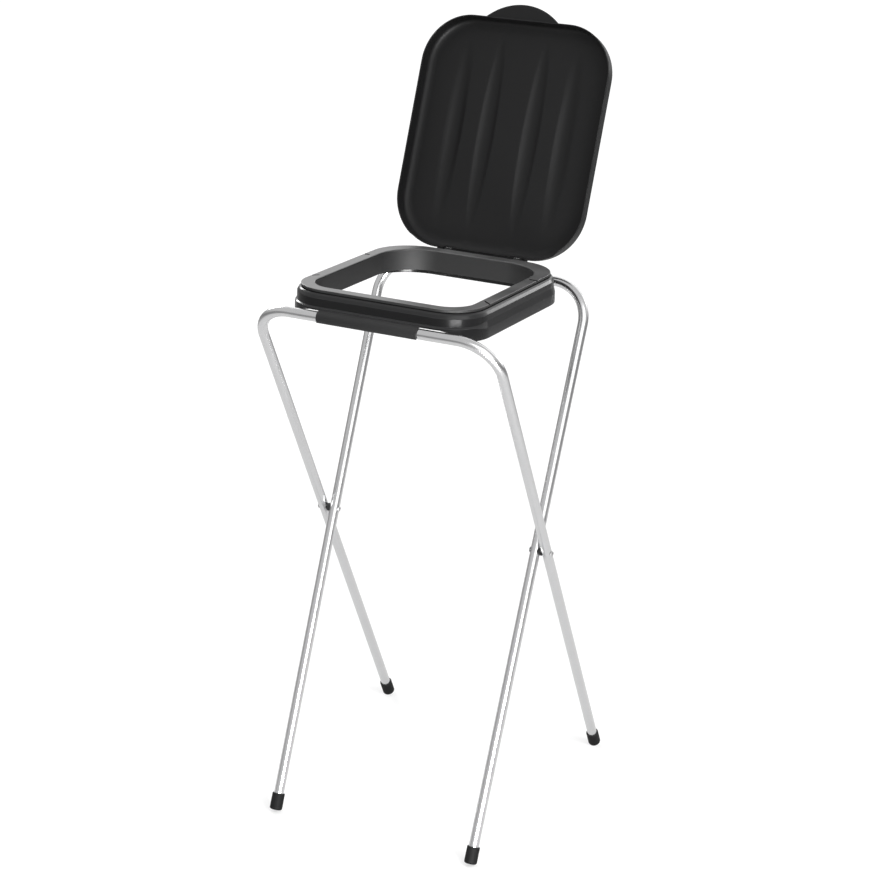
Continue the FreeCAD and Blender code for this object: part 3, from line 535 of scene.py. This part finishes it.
def leg_tube(name, top, foot, leg, bar_y, bar_z, lean):
    """Tube round the centre line, in a plane leaned about the bar, with a map and closed ends."""
    line, tangent = frame_line(top, foot, leg)
    side = np.stack([tangent[:, 1], -tangent[:, 0]], -1)
    a = np.linspace(0, 2 * math.pi, RING, endpoint=False)
    cos, sin = np.cos(a)[None, :, None], np.sin(a)[None, :, None]
    flat = line[:, None] + TUBE_RADIUS * cos * side[:, None]
    depth = np.broadcast_to(TUBE_RADIUS * sin, flat.shape[:2] + (1,))
    points = np.concatenate([flat[..., :1], depth, flat[..., 1:]], -1)
    room = turned(points, lean) + [0, bar_y, bar_z]
    quads = grid_faces(len(line), RING, wrap_rows=False)
    inside_out = volume(room.reshape(-1, 3), quads) < 0
    first, last = list(range(RING)), list(range((len(line) - 1) * RING, len(line) * RING))
    caps = [first, last[::-1]] if inside_out else [first[::-1], last]
    tube = moulding(name, room, quads, caps)
    travel = np.concatenate([[0], np.cumsum(np.linalg.norm(np.diff(line, axis=0), axis=1))])
    u = np.broadcast_to(np.arange(RING) / RING * 2 * math.pi * TUBE_RADIUS, (len(line), RING))
    v = np.broadcast_to(travel[:, None], (len(line), RING))
    per_point = np.stack([u, v], -1).reshape(-1, 2) * MM
    corner = np.zeros(len(tube.data.loops), np.int32)
    tube.data.loops.foreach_get("vertex_index", corner)
    tube.data.uv_layers.new(name="along").data.foreach_set("uv", per_point[corner].reshape(-1))
    return tube


# %% The two frames
FRONT_WIDTH = 397.6
REAR_TOP, REAR_FOOT = 365.0, 350.6
FRONT_BAR = (-196.3, 853.454)
LEAN = math.atan2(413.7, 850.0)
FRONT_LEG = math.hypot(413.7, 850.0)
REAR_LEG = FRONT_LEG - 28.2

front_tube = leg_tube("front_tube", FRONT_WIDTH, FRONT_WIDTH, FRONT_LEG, *FRONT_BAR, LEAN)
finish(front_tube, TUBE_PLATE, "front_legs", "frame_tube", "front_leg_frame")
rear_tube = leg_tube("rear_tube", REAR_TOP, REAR_FOOT, REAR_LEG, rear_bar[1], rear_bar[2], -LEAN)
finish(rear_tube, TUBE_PLATE, "rear_legs", "frame_tube", "rear_leg_frame")

# %% [markdown]
# ## The collar
# The base collar is one moulding: a skirt in two tiers with a ledge between them, a sloped
# shoulder, a web under the flange and an inner wall round the bag opening. Its section is
# carried round the outline. The ledge is crisp along the front and fades to a soft slope on
# the sides, so the section is drawn with both ledges and mixed by the way the wall faces.
# Over the front bar the skirt's lower edge is cut away, so there the low points of the section
# are lifted to the notch's ceiling.

# %% Section of the base collar, carried round
SKIRT_BOTTOM = -46.0
NOTCH_Y = (-374.9, -371.9, -360.4)      # flat over the bar, a chamfer, then the slope
NOTCH_Z = (-29.0, -32.0, -47.0)
CLIP_ROOM_BACK, CLIP_CEILING = -353.6, -27.25
CRISP_LEDGE, SOFT_LEDGE = (-24.3, -26.2), (-20.5, -30.5)    # heights of the ledge's two ends


def collar_section(ledge):
    """Section of the collar as (u, z), rounded, with its ledge between the two given heights."""
    return rounded_profile([
        (20.6, -5.4, 0.4), (22.6, -7.2, 3.0), (25.3, -12.0, 3.0), (25.5, ledge[0], 0.8),
        (28.2, ledge[1], 1.2), (28.5, SKIRT_BOTTOM, 0.7), (26.3, SKIRT_BOTTOM, 0.7),
        (26.0, -31.5, 0.8), (23.0, -26.7, 0.8), (23.0, -14.7, 1.2), (18.6, -7.8, 0.8),
        (4.6, -7.2, 0.8), (4.6, -29.0, 0.7), (2.4, -29.0, 0.7), (2.4, -2.42, 0.5),
        (17.0, -2.42, 0.3), (17.3, -5.4, 0.3)])


crisp, collar_edge = collar_section(CRISP_LEDGE)
soft, _ = collar_section(SOFT_LEDGE)
_, facing = outline(OPENING_HALF, OPENING_FRONT, OPENING_BACK, OPENING_RADII, SIDE_STOPS)
frontal = np.clip(-facing[:, 1] / 0.6, 0, 1)
frontal = (frontal ** 2 * (3 - 2 * frontal))[:, None, None]
collar_points = (carried_round(crisp, SIDE_STOPS) * frontal
                 + carried_round(soft, SIDE_STOPS) * (1 - frontal))
cx, cy, cz = (collar_points[..., k] for k in range(3))
lowest = np.interp(cy, NOTCH_Y, NOTCH_Z)
over_clip = (cx > CLIP_X[0] - 0.1) & (cx < CLIP_X[1] + 0.1) & (cy < CLIP_ROOM_BACK)
lowest = np.where(over_clip, np.maximum(lowest, CLIP_CEILING), lowest)
collar_points[..., 2] = np.maximum(cz, lowest)
collar = moulding("collar_shell", from_collar(collar_points),
                  grid_faces(*collar_points.shape[:2]),
                  edge=np.broadcast_to(collar_edge, collar_points.shape[:2]))
finish(collar, COLLAR_BLACK, "collar", "collar_plastic", "base_collar")

# %% [markdown]
# ## The clamping ring
# The bag's mouth is laid over the inner wall and this ring is pressed down on it. Its flat
# flange is the collar's top face, with a lip outside and a long tapered wall inside. Four
# narrow slits cross the flange, the front pair on a slant. At a slit the grid has close
# stations whose top points are pushed down. Painted shade, near black, fills the slits, and
# thinner painted shade lies on the inner wall and under the outer lip, where the gloss is
# also dulled.

# %% Section of the clamping ring, with its slits
SLIT_WIDTH, SLIT_DEPTH = 4.4, 1.9
SLITS = ((COLLAR_MIDDLE - 92.0, 18.0), (COLLAR_MIDDLE + 67.0, 0.0))    # place and skew
SLIT_BLEND = 28.0           # how far along the flange the slant dies away
SLIT_INNER_END = {-1: 0.55, 1: 0.25}    # share of the flange's width left whole, by side
ring_section, ring_edge = rounded_profile([
    (0.0, 0.0, 2.4), (-1.6, -33.0, 0.6), (0.4, -33.0, 0.6), (2.0, -2.4, 0.4), (17.6, -2.4, 0.3),
    (17.6, -4.6, 0.3), (18.7, -4.6, 0.3), (19.6, -3.4, 0.5), (19.6, 0.0, 0.8)])
FLAT_FROM, FLAT_TO, FLAT_POINTS = FLANGE_WIDTH - 1.3, 2.6, 8      # extra points on the flange top
flat_top = np.stack([np.linspace(FLAT_FROM, FLAT_TO, FLAT_POINTS), np.zeros(FLAT_POINTS)], -1)
ring_section = np.concatenate([ring_section, flat_top])
ring_edge = np.concatenate([ring_edge, np.zeros(FLAT_POINTS)])
half_slit = SLIT_WIDTH / 2
beyond = half_slit + np.array([0.5, 0.02, -0.12])       # stations by a slit's two walls
near = np.concatenate([-beyond, [0], beyond[::-1]])
ring_stops = np.sort(np.concatenate([SIDE_STOPS] + [y + near for y, _ in SLITS]))
ring_points = carried_round(ring_section, ring_stops)
on_side = np.abs(ring_points[..., 0]) > OPENING_HALF - 3        # the two long sides
across = np.clip((np.abs(ring_points[..., 0]) - OPENING_HALF) / FLANGE_WIDTH, 0, 1)
inner_end = np.where(ring_points[..., 0] < 0, SLIT_INNER_END[-1], SLIT_INNER_END[1])
INNER_WALL_SHADE_AND_DULL, OUTER_LIP_SHADE_AND_DULL = 0.62, 0.6       # painted shade and a duller gloss on the inner wall and under the lip
inner_wall = (ring_section[:, 0] < 0.3) & (ring_section[:, 1] < -2.2)
outer_lip = (ring_section[:, 0] > 18.6) & (ring_section[:, 1] < -0.6)
# Painted shade, with a duller gloss, on the inner wall and on the outer lip under the flange
dull = np.where(inner_wall, INNER_WALL_SHADE_AND_DULL, np.where(outer_lip, OUTER_LIP_SHADE_AND_DULL, 0.0))
ring_shade_and_dull = np.broadcast_to(dull, across.shape)
for y, skew in SLITS:
    off = np.abs(ring_points[..., 1] - y)
    open_part = on_side & (across > inner_end) & (ring_points[..., 2] > -SLIT_DEPTH)
    cut = open_part & (off < half_slit - 0.05)
    # The slits are painted near black and fully rough: painted shade
    ring_shade_and_dull = np.where(open_part & (off < half_slit + 0.1), 1.0, ring_shade_and_dull)
    ring_points[..., 2] = np.where(cut, -SLIT_DEPTH, ring_points[..., 2])
    slant = skew * (0.5 - across) * np.clip(1 - off / SLIT_BLEND, 0, 1)
    ring_points[..., 1] += np.where(on_side, slant, 0)
ring = moulding("clamp_shell", from_collar(ring_points), grid_faces(*ring_points.shape[:2]),
                edge=np.broadcast_to(ring_edge, ring_points.shape[:2]), shade_and_dull=ring_shade_and_dull)
finish(ring, CLAMP_BLACK, "collar", "clamp_plastic", "clamp_ring")

# %% [markdown]
# ## Clip, bearings and hinges
# These are short mouldings of one section each: a hook over the front bar with a tongue up
# behind the skirt, two open bearings that snap on the rear bar, and the hinge knuckles. A
# section is drawn once and carried along X, with its ends rounded off.

# %% The clip on the front bar
FRONT_BAR_Y, FRONT_BAR_DEPTH = -381.07, -37.6
CLIP_BORE, CLIP_OUTER = 8.3, 10.3
CLIP_LIP = math.radians(226.0)
TONGUE_FRONT, TONGUE_THICK, TONGUE_TOP = -372.55, 2.0, -14.3
CLIP_TOP = FRONT_BAR_DEPTH + CLIP_OUTER


def arc_points(y, z, radius, first, last, count):
    """Points on an arc in Y-Z: centre + radius (cos a, sin a), with a evenly spaced."""
    a = np.linspace(first, last, count)
    return np.stack([y + radius * np.cos(a), z + radius * np.sin(a)], -1)


TONGUE_BACK = TONGUE_FRONT + TONGUE_THICK
clip_section = np.concatenate([
    arc_points(FRONT_BAR_Y, FRONT_BAR_DEPTH, CLIP_OUTER, math.pi / 2, CLIP_LIP, 40),
    arc_points(FRONT_BAR_Y, FRONT_BAR_DEPTH, CLIP_BORE, CLIP_LIP, math.pi / 2, 40),
    [(TONGUE_BACK, CLIP_TOP - TONGUE_THICK), (TONGUE_BACK, TONGUE_TOP),
     (TONGUE_FRONT, TONGUE_TOP), (TONGUE_FRONT, CLIP_TOP)]])
clip = bar_along_x("bar_clip", clip_section, *CLIP_X, from_collar)
finish(clip, CLIP_BLACK, "collar", "clip_plastic", "front_bar_clip")

# %% Rear bearings and collar knuckles
BEARING_X = 98.0
BEARING_HALF = 11.0
BEARING_OUTER, BEARING_BORE = 10.65, 8.05
MOUTH = (math.radians(-100), math.radians(-20))
BEARING_ROOT, BEARING_ROOT_TOP, BEARING_ROOT_LOW = -22.0, -28.5, -42.0    # in the skirt's wall
hook = np.concatenate([
    [(BEARING_ROOT, BEARING_ROOT_TOP), (-BEARING_OUTER * 0.75, BEARING_ROOT_TOP)],
    arc_points(0, -REAR_BAR_DROP, BEARING_OUTER, math.radians(150), MOUTH[1], 30),
    arc_points(0, -REAR_BAR_DROP, BEARING_BORE, MOUTH[1], math.radians(260), 44),
    arc_points(0, -REAR_BAR_DROP, BEARING_OUTER, math.radians(260), math.radians(245), 4),
    [(BEARING_ROOT, BEARING_ROOT_LOW)]])
for hand, side in ((-1, "left"), (1, "right")):
    bearing = bar_along_x("bearing_" + side, hook, hand * BEARING_X - BEARING_HALF,
                          hand * BEARING_X + BEARING_HALF, from_collar)
    finish(bearing, COLLAR_BLACK, "collar", "collar_plastic")

KNUCKLE_RADIUS = 4.2
HINGE_X, COLLAR_KNUCKLE, LID_KNUCKLE, KNUCKLE_GAP = 60.0, 16.0, 7.0, 0.4
BACK_WALL = -25.0
knuckle = np.concatenate([
    arc_points(HINGE_Y, HINGE_Z, KNUCKLE_RADIUS, math.radians(135), math.radians(-90), 30),
    [(BACK_WALL, -22.5), (BACK_WALL, -10.5)]])
for hand, side in ((-1, "left"), (1, "right")):
    middle = hand * HINGE_X
    piece = bar_along_x("collar_knuckle_" + side, knuckle, middle - COLLAR_KNUCKLE / 2,
                        middle + COLLAR_KNUCKLE / 2, from_collar)
    finish(piece, COLLAR_BLACK, "collar", "collar_plastic")

# %% [markdown]
# ## The lid
# The lid is a shallow tray: a drafted wall, an elliptical shoulder and a flat panel with four
# long flutes, each the top of a slender spindle sunk in the panel. The open lid shows its
# hollow side, so both sides matter. The panel is a grid, close in X so that the flutes'
# creases stay crisp, and its border points are carried outward as rings to make the shoulder
# and wall, so that the whole side is one skin.

# %% Outline and panel of the lid
LID_HALF = 162.5
LID_FRONT, LID_BACK = -386.57, -12.0
LID_RADII = (80.0, 84.0)
LID_TOP, LID_UNDER, LID_RIM = 3.0, 1.0, -24.5
LID_WALL, LID_DRAFT = 2.0, 1.2
CROWN_WIDTH, CROWN_HEIGHT = 12.5, 9.0
PANEL_INSET = 15.9
FLUTES = ((-95.5, 290.0), (-38.5, 304.0), (38.5, 304.0), (95.5, 290.0))
FLUTE_AXIS, FLUTE_HEIGHT = 20.0, 5.0
FLUTE_MIDDLE = (LID_FRONT + LID_BACK) / 2 - 3.5
CREASE = 0.7                # softness of the flutes' creases
COLUMN_STEP = 1.1


def lid_line(x, inset, back):
    """Y of the lid's front or back outline at x, inset from the rim: straight, then an arc."""
    radius = LID_RADII[1 if back else 0] - inset
    centre_x = LID_HALF - inset - radius
    edge = LID_BACK - inset if back else LID_FRONT + inset
    past = np.clip(np.abs(x) - centre_x, 0, radius)
    drop = radius - np.sqrt(np.maximum(radius ** 2 - past ** 2, 0))
    return edge - drop if back else edge + drop


def panel_height(x, y, flat, thin):
    """Panel level with its flutes: the smooth maximum of the flat and each spindle's surface.

    A spindle's radius is end + height (1 - t^2), t running from -1 to 1 along it, and its
    surface stands at axis + sqrt(radius^2 - dx^2). The smooth maximum of a and b is
    (a + b + sqrt((a - b)^2 + crease^2)) / 2.
    """
    z = np.full(x.shape, flat)
    for middle, length in FLUTES:
        t = (y - FLUTE_MIDDLE) / (length / 2)
        radius = FLUTE_AXIS + FLUTE_HEIGHT * (1 - t ** 2) - thin
        inside = np.maximum(radius ** 2 - (x - middle) ** 2, 0)
        spindle = LID_TOP - FLUTE_AXIS + np.sqrt(inside)
        z = (z + spindle + np.sqrt((z - spindle) ** 2 + CREASE ** 2)) / 2
    return z


# %% One side of the lid as panel and rings
panel_half = LID_HALF - PANEL_INSET
corner_r = LID_RADII[0] - PANEL_INSET
swing = np.linspace(0, math.pi / 2, 22)
corner_x = panel_half - corner_r * (1 - np.cos(swing))
middle_x = np.linspace(corner_x[-1], -corner_x[-1], int(2 * corner_x[-1] / COLUMN_STEP))[1:-1]
columns = np.concatenate([corner_x, middle_x, -corner_x[::-1]])[::-1]
rows = np.linspace(0, 1, 70)
panel_x = np.broadcast_to(columns[:, None], (len(columns), len(rows)))
front_y, back_y = lid_line(columns, PANEL_INSET, False), lid_line(columns, PANEL_INSET, True)
panel_y = front_y[:, None] + (back_y - front_y)[:, None] * rows
n_col, n_row = panel_x.shape
index = np.arange(n_col * n_row).reshape(n_col, n_row)
border = np.concatenate([index[:, 0], index[-1, 1:], index[-2::-1, -1], index[0, -2:0:-1]])
border_xy = np.stack([panel_x, panel_y], -1).reshape(-1, 2)[border]


def border_normals(points):
    """Outward normal of the panel's border: from a corner's centre, else the side's own."""
    back = points[:, 1] > (LID_FRONT + LID_BACK) / 2
    radius = np.where(back, LID_RADII[1], LID_RADII[0]) - PANEL_INSET
    cx = panel_half - radius
    cy = np.where(back, LID_BACK - PANEL_INSET - radius, LID_FRONT + PANEL_INSET + radius)
    dx = np.sign(points[:, 0]) * np.maximum(np.abs(points[:, 0]) - cx, 0)
    dy = np.where(back, np.maximum(points[:, 1] - cy, 0), np.minimum(points[:, 1] - cy, 0))
    n = np.stack([dx, dy], -1)
    return n / np.maximum(np.linalg.norm(n, axis=1, keepdims=True), 1e-9)


normals = border_normals(border_xy)
print("lid panel", n_col, "by", n_row, "and", len(border), "border points")


def crown_levels(inset, top, width, height, steps=9):
    """Shoulder: inset + draft + width (1 - sin a), top - height (1 - cos a)."""
    a = np.linspace(0, math.pi / 2, steps)
    return inset + LID_DRAFT + width * (1 - np.sin(a)), top - height * (1 - np.cos(a))


# %% The lid's whole shell
REAR_RELIEF, REAR_RELIEF_HALF = 5.6, 116.0
HINGE_ROOM, ROOM_TOP = 8.4, -2.0        # the rear wall is open where the collar's knuckles turn
outer_in, outer_z = crown_levels(0.0, LID_TOP, CROWN_WIDTH, CROWN_HEIGHT)
inner_in, inner_z = crown_levels(LID_WALL, LID_UNDER, CROWN_WIDTH, CROWN_HEIGHT)
rim_a = np.linspace(0, math.pi, 7)
rim_in = LID_WALL / 2 - (LID_WALL / 2) * np.cos(rim_a)
rim_z = LID_RIM + 1.0 - np.sin(rim_a)
ring_in = np.concatenate([outer_in, [0.7, 0.3], rim_in, [2.3, 2.7], inner_in[::-1]])
ring_z = np.concatenate([outer_z, [-12.0, -20.0], rim_z, [-20.0, -12.0], inner_z[::-1]])
low = ring_z < ROOM_TOP
room_in, room_z = ring_in.copy(), np.where(low, ROOM_TOP, ring_z)
room_in[low] = np.linspace(np.interp(ROOM_TOP, outer_z[::-1], outer_in[::-1]),
                           np.interp(ROOM_TOP, inner_z[::-1], inner_in[::-1]), low.sum())
behind = (border_xy[:, 1] > LID_BACK - 60) & (np.abs(border_xy[:, 0]) < REAR_RELIEF_HALF)
rooms = behind & (np.abs(np.abs(border_xy[:, 0]) - HINGE_X) < HINGE_ROOM + COLUMN_STEP)
rings_in = np.where(rooms, room_in[:, None], ring_in[:, None])
rings_xy = border_xy[None] + normals[None] * (PANEL_INSET - rings_in)[..., None]
rings_z = np.where(behind, np.maximum(ring_z, LID_RIM + REAR_RELIEF)[:, None], ring_z[:, None])
rings_z = np.where(rooms, room_z[:, None], rings_z)
outer_panel = np.stack([panel_x, panel_y, panel_height(panel_x, panel_y, LID_TOP, 0)], -1)
inner_panel = np.stack([panel_x, panel_y, panel_height(panel_x, panel_y, LID_UNDER, LID_WALL)], -1)
rings = np.concatenate([rings_xy, rings_z[..., None]], -1)
n_panel, n_border, n_rings = n_col * n_row, len(border), len(ring_in)
lid_points = np.concatenate([outer_panel.reshape(-1, 3), inner_panel.reshape(-1, 3),
                             rings.reshape(-1, 3)])
ring_index = 2 * n_panel + np.arange(n_rings * n_border).reshape(n_rings, -1)
walk = np.concatenate([border[None], ring_index, n_panel + border[None]])
beside = np.roll(walk, -1, 1)
wall_quads = np.stack([walk[:-1], walk[1:], beside[1:], beside[:-1]], -1).reshape(-1, 4)
top_quads = grid_faces(n_col, n_row, False, False)
under_quads = n_panel + top_quads[:, ::-1]
lid_quads = np.concatenate([top_quads, under_quads, wall_quads])
lid_edge = np.zeros(len(lid_points))
rim_rings = slice(len(outer_in) + 2, len(outer_in) + 2 + len(rim_a))
lid_edge[2 * n_panel:].reshape(n_rings, n_border)[rim_rings] = np.sin(rim_a)[:, None]
lid = moulding("lid_shell", from_lid(lid_points), lid_quads, edge=lid_edge, sharp=60)
finish(lid, LID_BLACK, "lid", "lid_plastic", "lid")

# %% Lip along the rear rim
LIP_HALF, LIP_TOP, LIP_THICK, LIP_END = 77.0, LID_RIM + REAR_RELIEF + 1.2, 1.2, HINGE_Y + 3.0
lip_section, lip_edge = rounded_profile([
    (LID_BACK - LID_WALL - 0.4, LIP_TOP - LIP_THICK, 0.2), (LIP_END, LIP_TOP - LIP_THICK, 0.4),
    (LIP_END, LIP_TOP, 0.4), (LID_BACK - LID_WALL - 0.4, LIP_TOP, 0.2)])
for k, (x0, x1) in enumerate(((-LIP_HALF, -HINGE_X - HINGE_ROOM), (HINGE_ROOM - HINGE_X,
                              HINGE_X - HINGE_ROOM), (HINGE_X + HINGE_ROOM, LIP_HALF))):
    piece = bar_along_x(f"lid_lip_{k + 1}", lip_section, x0, x1, from_lid, lip_edge, 0.3)
    finish(piece, LID_BLACK, "lid", "lid_plastic")

# %% [markdown]
# The tab's outline is one arc, and its cross-section is a squared ring: cosine and sine with
# their sizes under a root, which gives flat faces and soft edges.

# %% Finger tab and lid knuckles
TAB_HALF, TAB_REACH, TAB_THICK = 62.0, 23.3, 2.5
TAB_STATIONS, TAB_RING, TAB_ROOT = 61, 32, 1.0
tab_radius = (TAB_HALF ** 2 + TAB_REACH ** 2) / (2 * TAB_REACH)
swing = np.linspace(-1, 1, TAB_STATIONS) * math.asin(TAB_HALF / tab_radius)
tab_x = np.sin(swing) * tab_radius
reach = np.sqrt(tab_radius ** 2 - tab_x ** 2) - (tab_radius - TAB_REACH)
a = np.linspace(0, 2 * math.pi, TAB_RING, endpoint=False)
squared_cos, squared_sin = (np.sign(w) * np.abs(w) ** 0.5 for w in (np.cos(a), np.sin(a)))
depth = (reach + TAB_ROOT)[:, None] / 2
tab_y = LID_FRONT + TAB_ROOT - depth - depth * squared_cos
tab_z = LID_RIM + TAB_THICK / 2 * (1 + squared_sin) + 0 * depth
tab_points = np.stack([np.broadcast_to(tab_x[:, None], tab_y.shape), tab_y, tab_z], -1)
tab = moulding("lid_tab", from_lid(tab_points), grid_faces(TAB_STATIONS, TAB_RING, False),
               [range(TAB_RING - 1, -1, -1),
                range((TAB_STATIONS - 1) * TAB_RING, TAB_STATIONS * TAB_RING)])
finish(tab, LID_BLACK, "lid", "lid_plastic")

lid_wall_y = LID_BACK - LID_DRAFT
lug = np.concatenate([
    arc_points(HINGE_Y, HINGE_Z, KNUCKLE_RADIUS, math.radians(30), math.radians(-90), 20),
    [(lid_wall_y - 1.0, HINGE_Z - KNUCKLE_RADIUS), (lid_wall_y - 1.0, -2.0)]])
for hand, side in ((-1, "left"), (1, "right")):
    for out, which in ((-1, "inner"), (1, "outer")):
        near_x = hand * HINGE_X + hand * out * (COLLAR_KNUCKLE / 2 + KNUCKLE_GAP)
        far_x = near_x + hand * out * LID_KNUCKLE
        piece = bar_along_x(f"lid_knuckle_{side}_{which}", lug, *sorted((near_x, far_x)), from_lid)
        finish(piece, LID_BLACK, "lid", "lid_plastic")

# %% [markdown]
# ## Feet, rivets, spacers and pins
# The CAD already has the small turned pieces in their true shapes, so they keep their own
# meshes and only change material. A CAD mesh carries no edge map, so its wear is left to the
# scuffs.

# %% Materials for the CAD pieces that stay
for name, node in nodes.items():
    if name.startswith("foot_cap"):
        node.data.materials[0] = FOOT_BLACK
    elif name.startswith("pivot_spacer"):
        node.data.materials[0] = CLIP_BLACK
    elif name.startswith(("pivot_rivet", "lid_hinge_pin")):
        node.data.materials[0] = RIVET_STEEL
print("kept from the CAD:", sorted(n for n, o in nodes.items() if not o.hide_render))

# %% [markdown]
# ## Floor, light and camera
# The photograph is a studio cut-out on white. The floor is pale and keeps a faint shadow. To
# the camera it also glows, more where less lamplight falls, so that it reads as white without
# any more light on the holder. The world does the same. In reflections both darken towards the
# horizon, as a real studio does beyond its paper, and that draws the dark lines on the tubes.
# The key lamp stands to the right and in front. It lights by diffusion only, and a larger,
# weaker panel beside it gives its gloss, because a small strong lamp would burn hard stripes
# into the tubes. A low lamp near the floor draws the bright upright band on the rounded corner,
# the back lamp draws the line on the right shoulder, and the side lamp lights the left edge.

# %% What each kind of ray sees of the studio
def ramp(tree, place, value, low, high, at_low, at_high):
    """A smooth step of a value: at_low below low, at_high above high."""
    node = add(tree, "ShaderNodeMapRange", place, interpolation_type="SMOOTHSTEP")
    for name, number in (("From Min", low), ("From Max", high), ("To Min", at_low),
                         ("To Max", at_high)):
        node.inputs[name].default_value = number
    tree.links.new(value, node.inputs["Value"])
    return node.outputs["Result"]


def level_by_ray(tree, place, seen, mirrored, rest):
    """One level for camera and transmission rays, one for glossy rays, and one for all others."""
    x, y = place
    path = add(tree, "ShaderNodeLightPath", place)
    direct = maths(tree, "MAXIMUM", (x + 1, y), path.outputs["Is Camera Ray"],
                   path.outputs["Is Transmission Ray"])
    level = maths(tree, "ADD", (x + 2, y), maths(tree, "MULTIPLY", (x + 1, y + 1), direct,
                  maths(tree, "SUBTRACT", (x + 1, y + 2), seen, rest)), rest)
    gloss = maths(tree, "MULTIPLY", (x + 1, y + 3), path.outputs["Is Glossy Ray"],
                  maths(tree, "SUBTRACT", (x + 1, y + 4), mirrored, rest))
    return maths(tree, "ADD", (x + 3, y), level, gloss)


# %% Floor
FLOOR_SIZE = 60.0           # metres
bpy.ops.mesh.primitive_grid_add(x_subdivisions=4, y_subdivisions=4, size=FLOOR_SIZE,
                                location=(0, 0, 0))
floor = bpy.context.object
floor.name = "floor"
floor_white = bpy.data.materials.new("floor_white")
tree = blank(floor_white)
paper = add(tree, "ShaderNodeBsdfDiffuse", (5, 0))
paper.inputs["Color"].default_value = (0.4, 0.4, 0.4, 1)
reach = add(tree, "ShaderNodeVectorMath", (-1, 3), operation="LENGTH")
tree.links.new(add(tree, "ShaderNodeTexCoord", (-2, 3)).outputs["Object"], reach.inputs[0])
fading = ramp(tree, (0, 3), reach.outputs["Value"], 0.8, 5.0, 0.62, 0.86)
mirrored = ramp(tree, (0, 4), reach.outputs["Value"], 1.5, 2.4, 0.55, 0.1)
glow = add(tree, "ShaderNodeEmission", (5, 1))
glow.inputs["Color"].default_value = (1, 1, 1, 1)
tree.links.new(level_by_ray(tree, (1, 2), fading, mirrored, 0.0), glow.inputs["Strength"])
both = add(tree, "ShaderNodeAddShader", (6, 0))
tree.links.new(paper.outputs[0], both.inputs[0])
tree.links.new(glow.outputs[0], both.inputs[1])
tree.links.new(both.outputs[0], add(tree, "ShaderNodeOutputMaterial", (7, 0)).inputs[0])
floor.data.materials.append(floor_white)

# %% World
AMBIENT = 0.48
world = bpy.data.worlds.new("studio")
bpy.context.scene.world = world
tree = blank(world)
sky = add(tree, "ShaderNodeBackground", (6, 0))
sky.inputs["Color"].default_value = (1, 1, 1, 1)
way = add(tree, "ShaderNodeSeparateXYZ", (-1, 0))
tree.links.new(add(tree, "ShaderNodeTexCoord", (-2, 0)).outputs["Generated"], way.inputs[0])
overhead = ramp(tree, (0, 1), way.outputs["Z"], 0.0, 0.35, 0.45, 0.85)
behind = ramp(tree, (0, 2), way.outputs["Y"], 0.4, 0.9, 0.0, 0.9)
mirrored = maths(tree, "ADD", (1, 3), overhead, behind)
tree.links.new(level_by_ray(tree, (1, 0), 1.0, mirrored, AMBIENT), sky.inputs["Strength"])
tree.links.new(sky.outputs[0], add(tree, "ShaderNodeOutputWorld", (7, 0)).inputs[0])


# %% Lamps
def softbox(name, azimuth, elevation, distance, size, watts, aim=0.6, lights="both"):
    """A soft lamp of a width and height, aimed at a height over the origin from a direction.

    It lights surfaces by diffusion, by gloss or by both.
    """
    a, e = math.radians(azimuth), math.radians(elevation)
    back = np.array([math.sin(a) * math.cos(e), -math.cos(a) * math.cos(e), math.sin(e)])
    data = bpy.data.lights.new(name, "AREA")
    data.shape = "RECTANGLE"
    data.size, data.size_y = size
    data.energy = watts
    lamp = bpy.data.objects.new(name, data)
    lamp.location = np.array([0, 0, aim]) + back * distance
    lamp.rotation_euler = (math.pi / 2 - e, 0, a)
    lamp.visible_camera = False
    lamp.visible_diffuse = lights != "gloss"
    lamp.visible_glossy = lights != "diffusion"
    bpy.context.scene.collection.objects.link(lamp)
    print(name, "at", [round(v, 2) for v in lamp.location])
    return lamp


softbox("key_lamp", 68, 36, 3.2, (1.6, 1.6), 95, lights="diffusion")
softbox("key_sheen", 52, 32, 3.2, (3.0, 2.4), 38, lights="gloss")
softbox("low_lamp", 39, 0, 1.73, (0.8, 0.5), 75, aim=0.34, lights="gloss")
softbox("side_lamp", -122, 26, 3.2, (1.0, 1.0), 42)
softbox("back_lamp", 158, 10, 3.2, (0.8, 0.5), 7, lights="gloss")
softbox("top_lamp", -35, 62, 3.2, (1.6, 1.0), 20, lights="diffusion")

# %% Camera
CAMERA_PLACE = (1.4816, -2.9107, 1.9420)
CAMERA_PITCH, CAMERA_TURN = 67.83, 26.92
LENS = 93.29
lens = bpy.data.cameras.new("photo_camera")
lens.lens = LENS
lens.sensor_width = 36.0
lens.clip_end = 200.0
camera = bpy.data.objects.new("photo_camera", lens)
camera.location = CAMERA_PLACE
camera.rotation_euler = (math.radians(CAMERA_PITCH), 0, math.radians(CAMERA_TURN))
bpy.context.scene.collection.objects.link(camera)
bpy.context.scene.camera = camera
bpy.context.scene.view_settings.view_transform = "Standard"
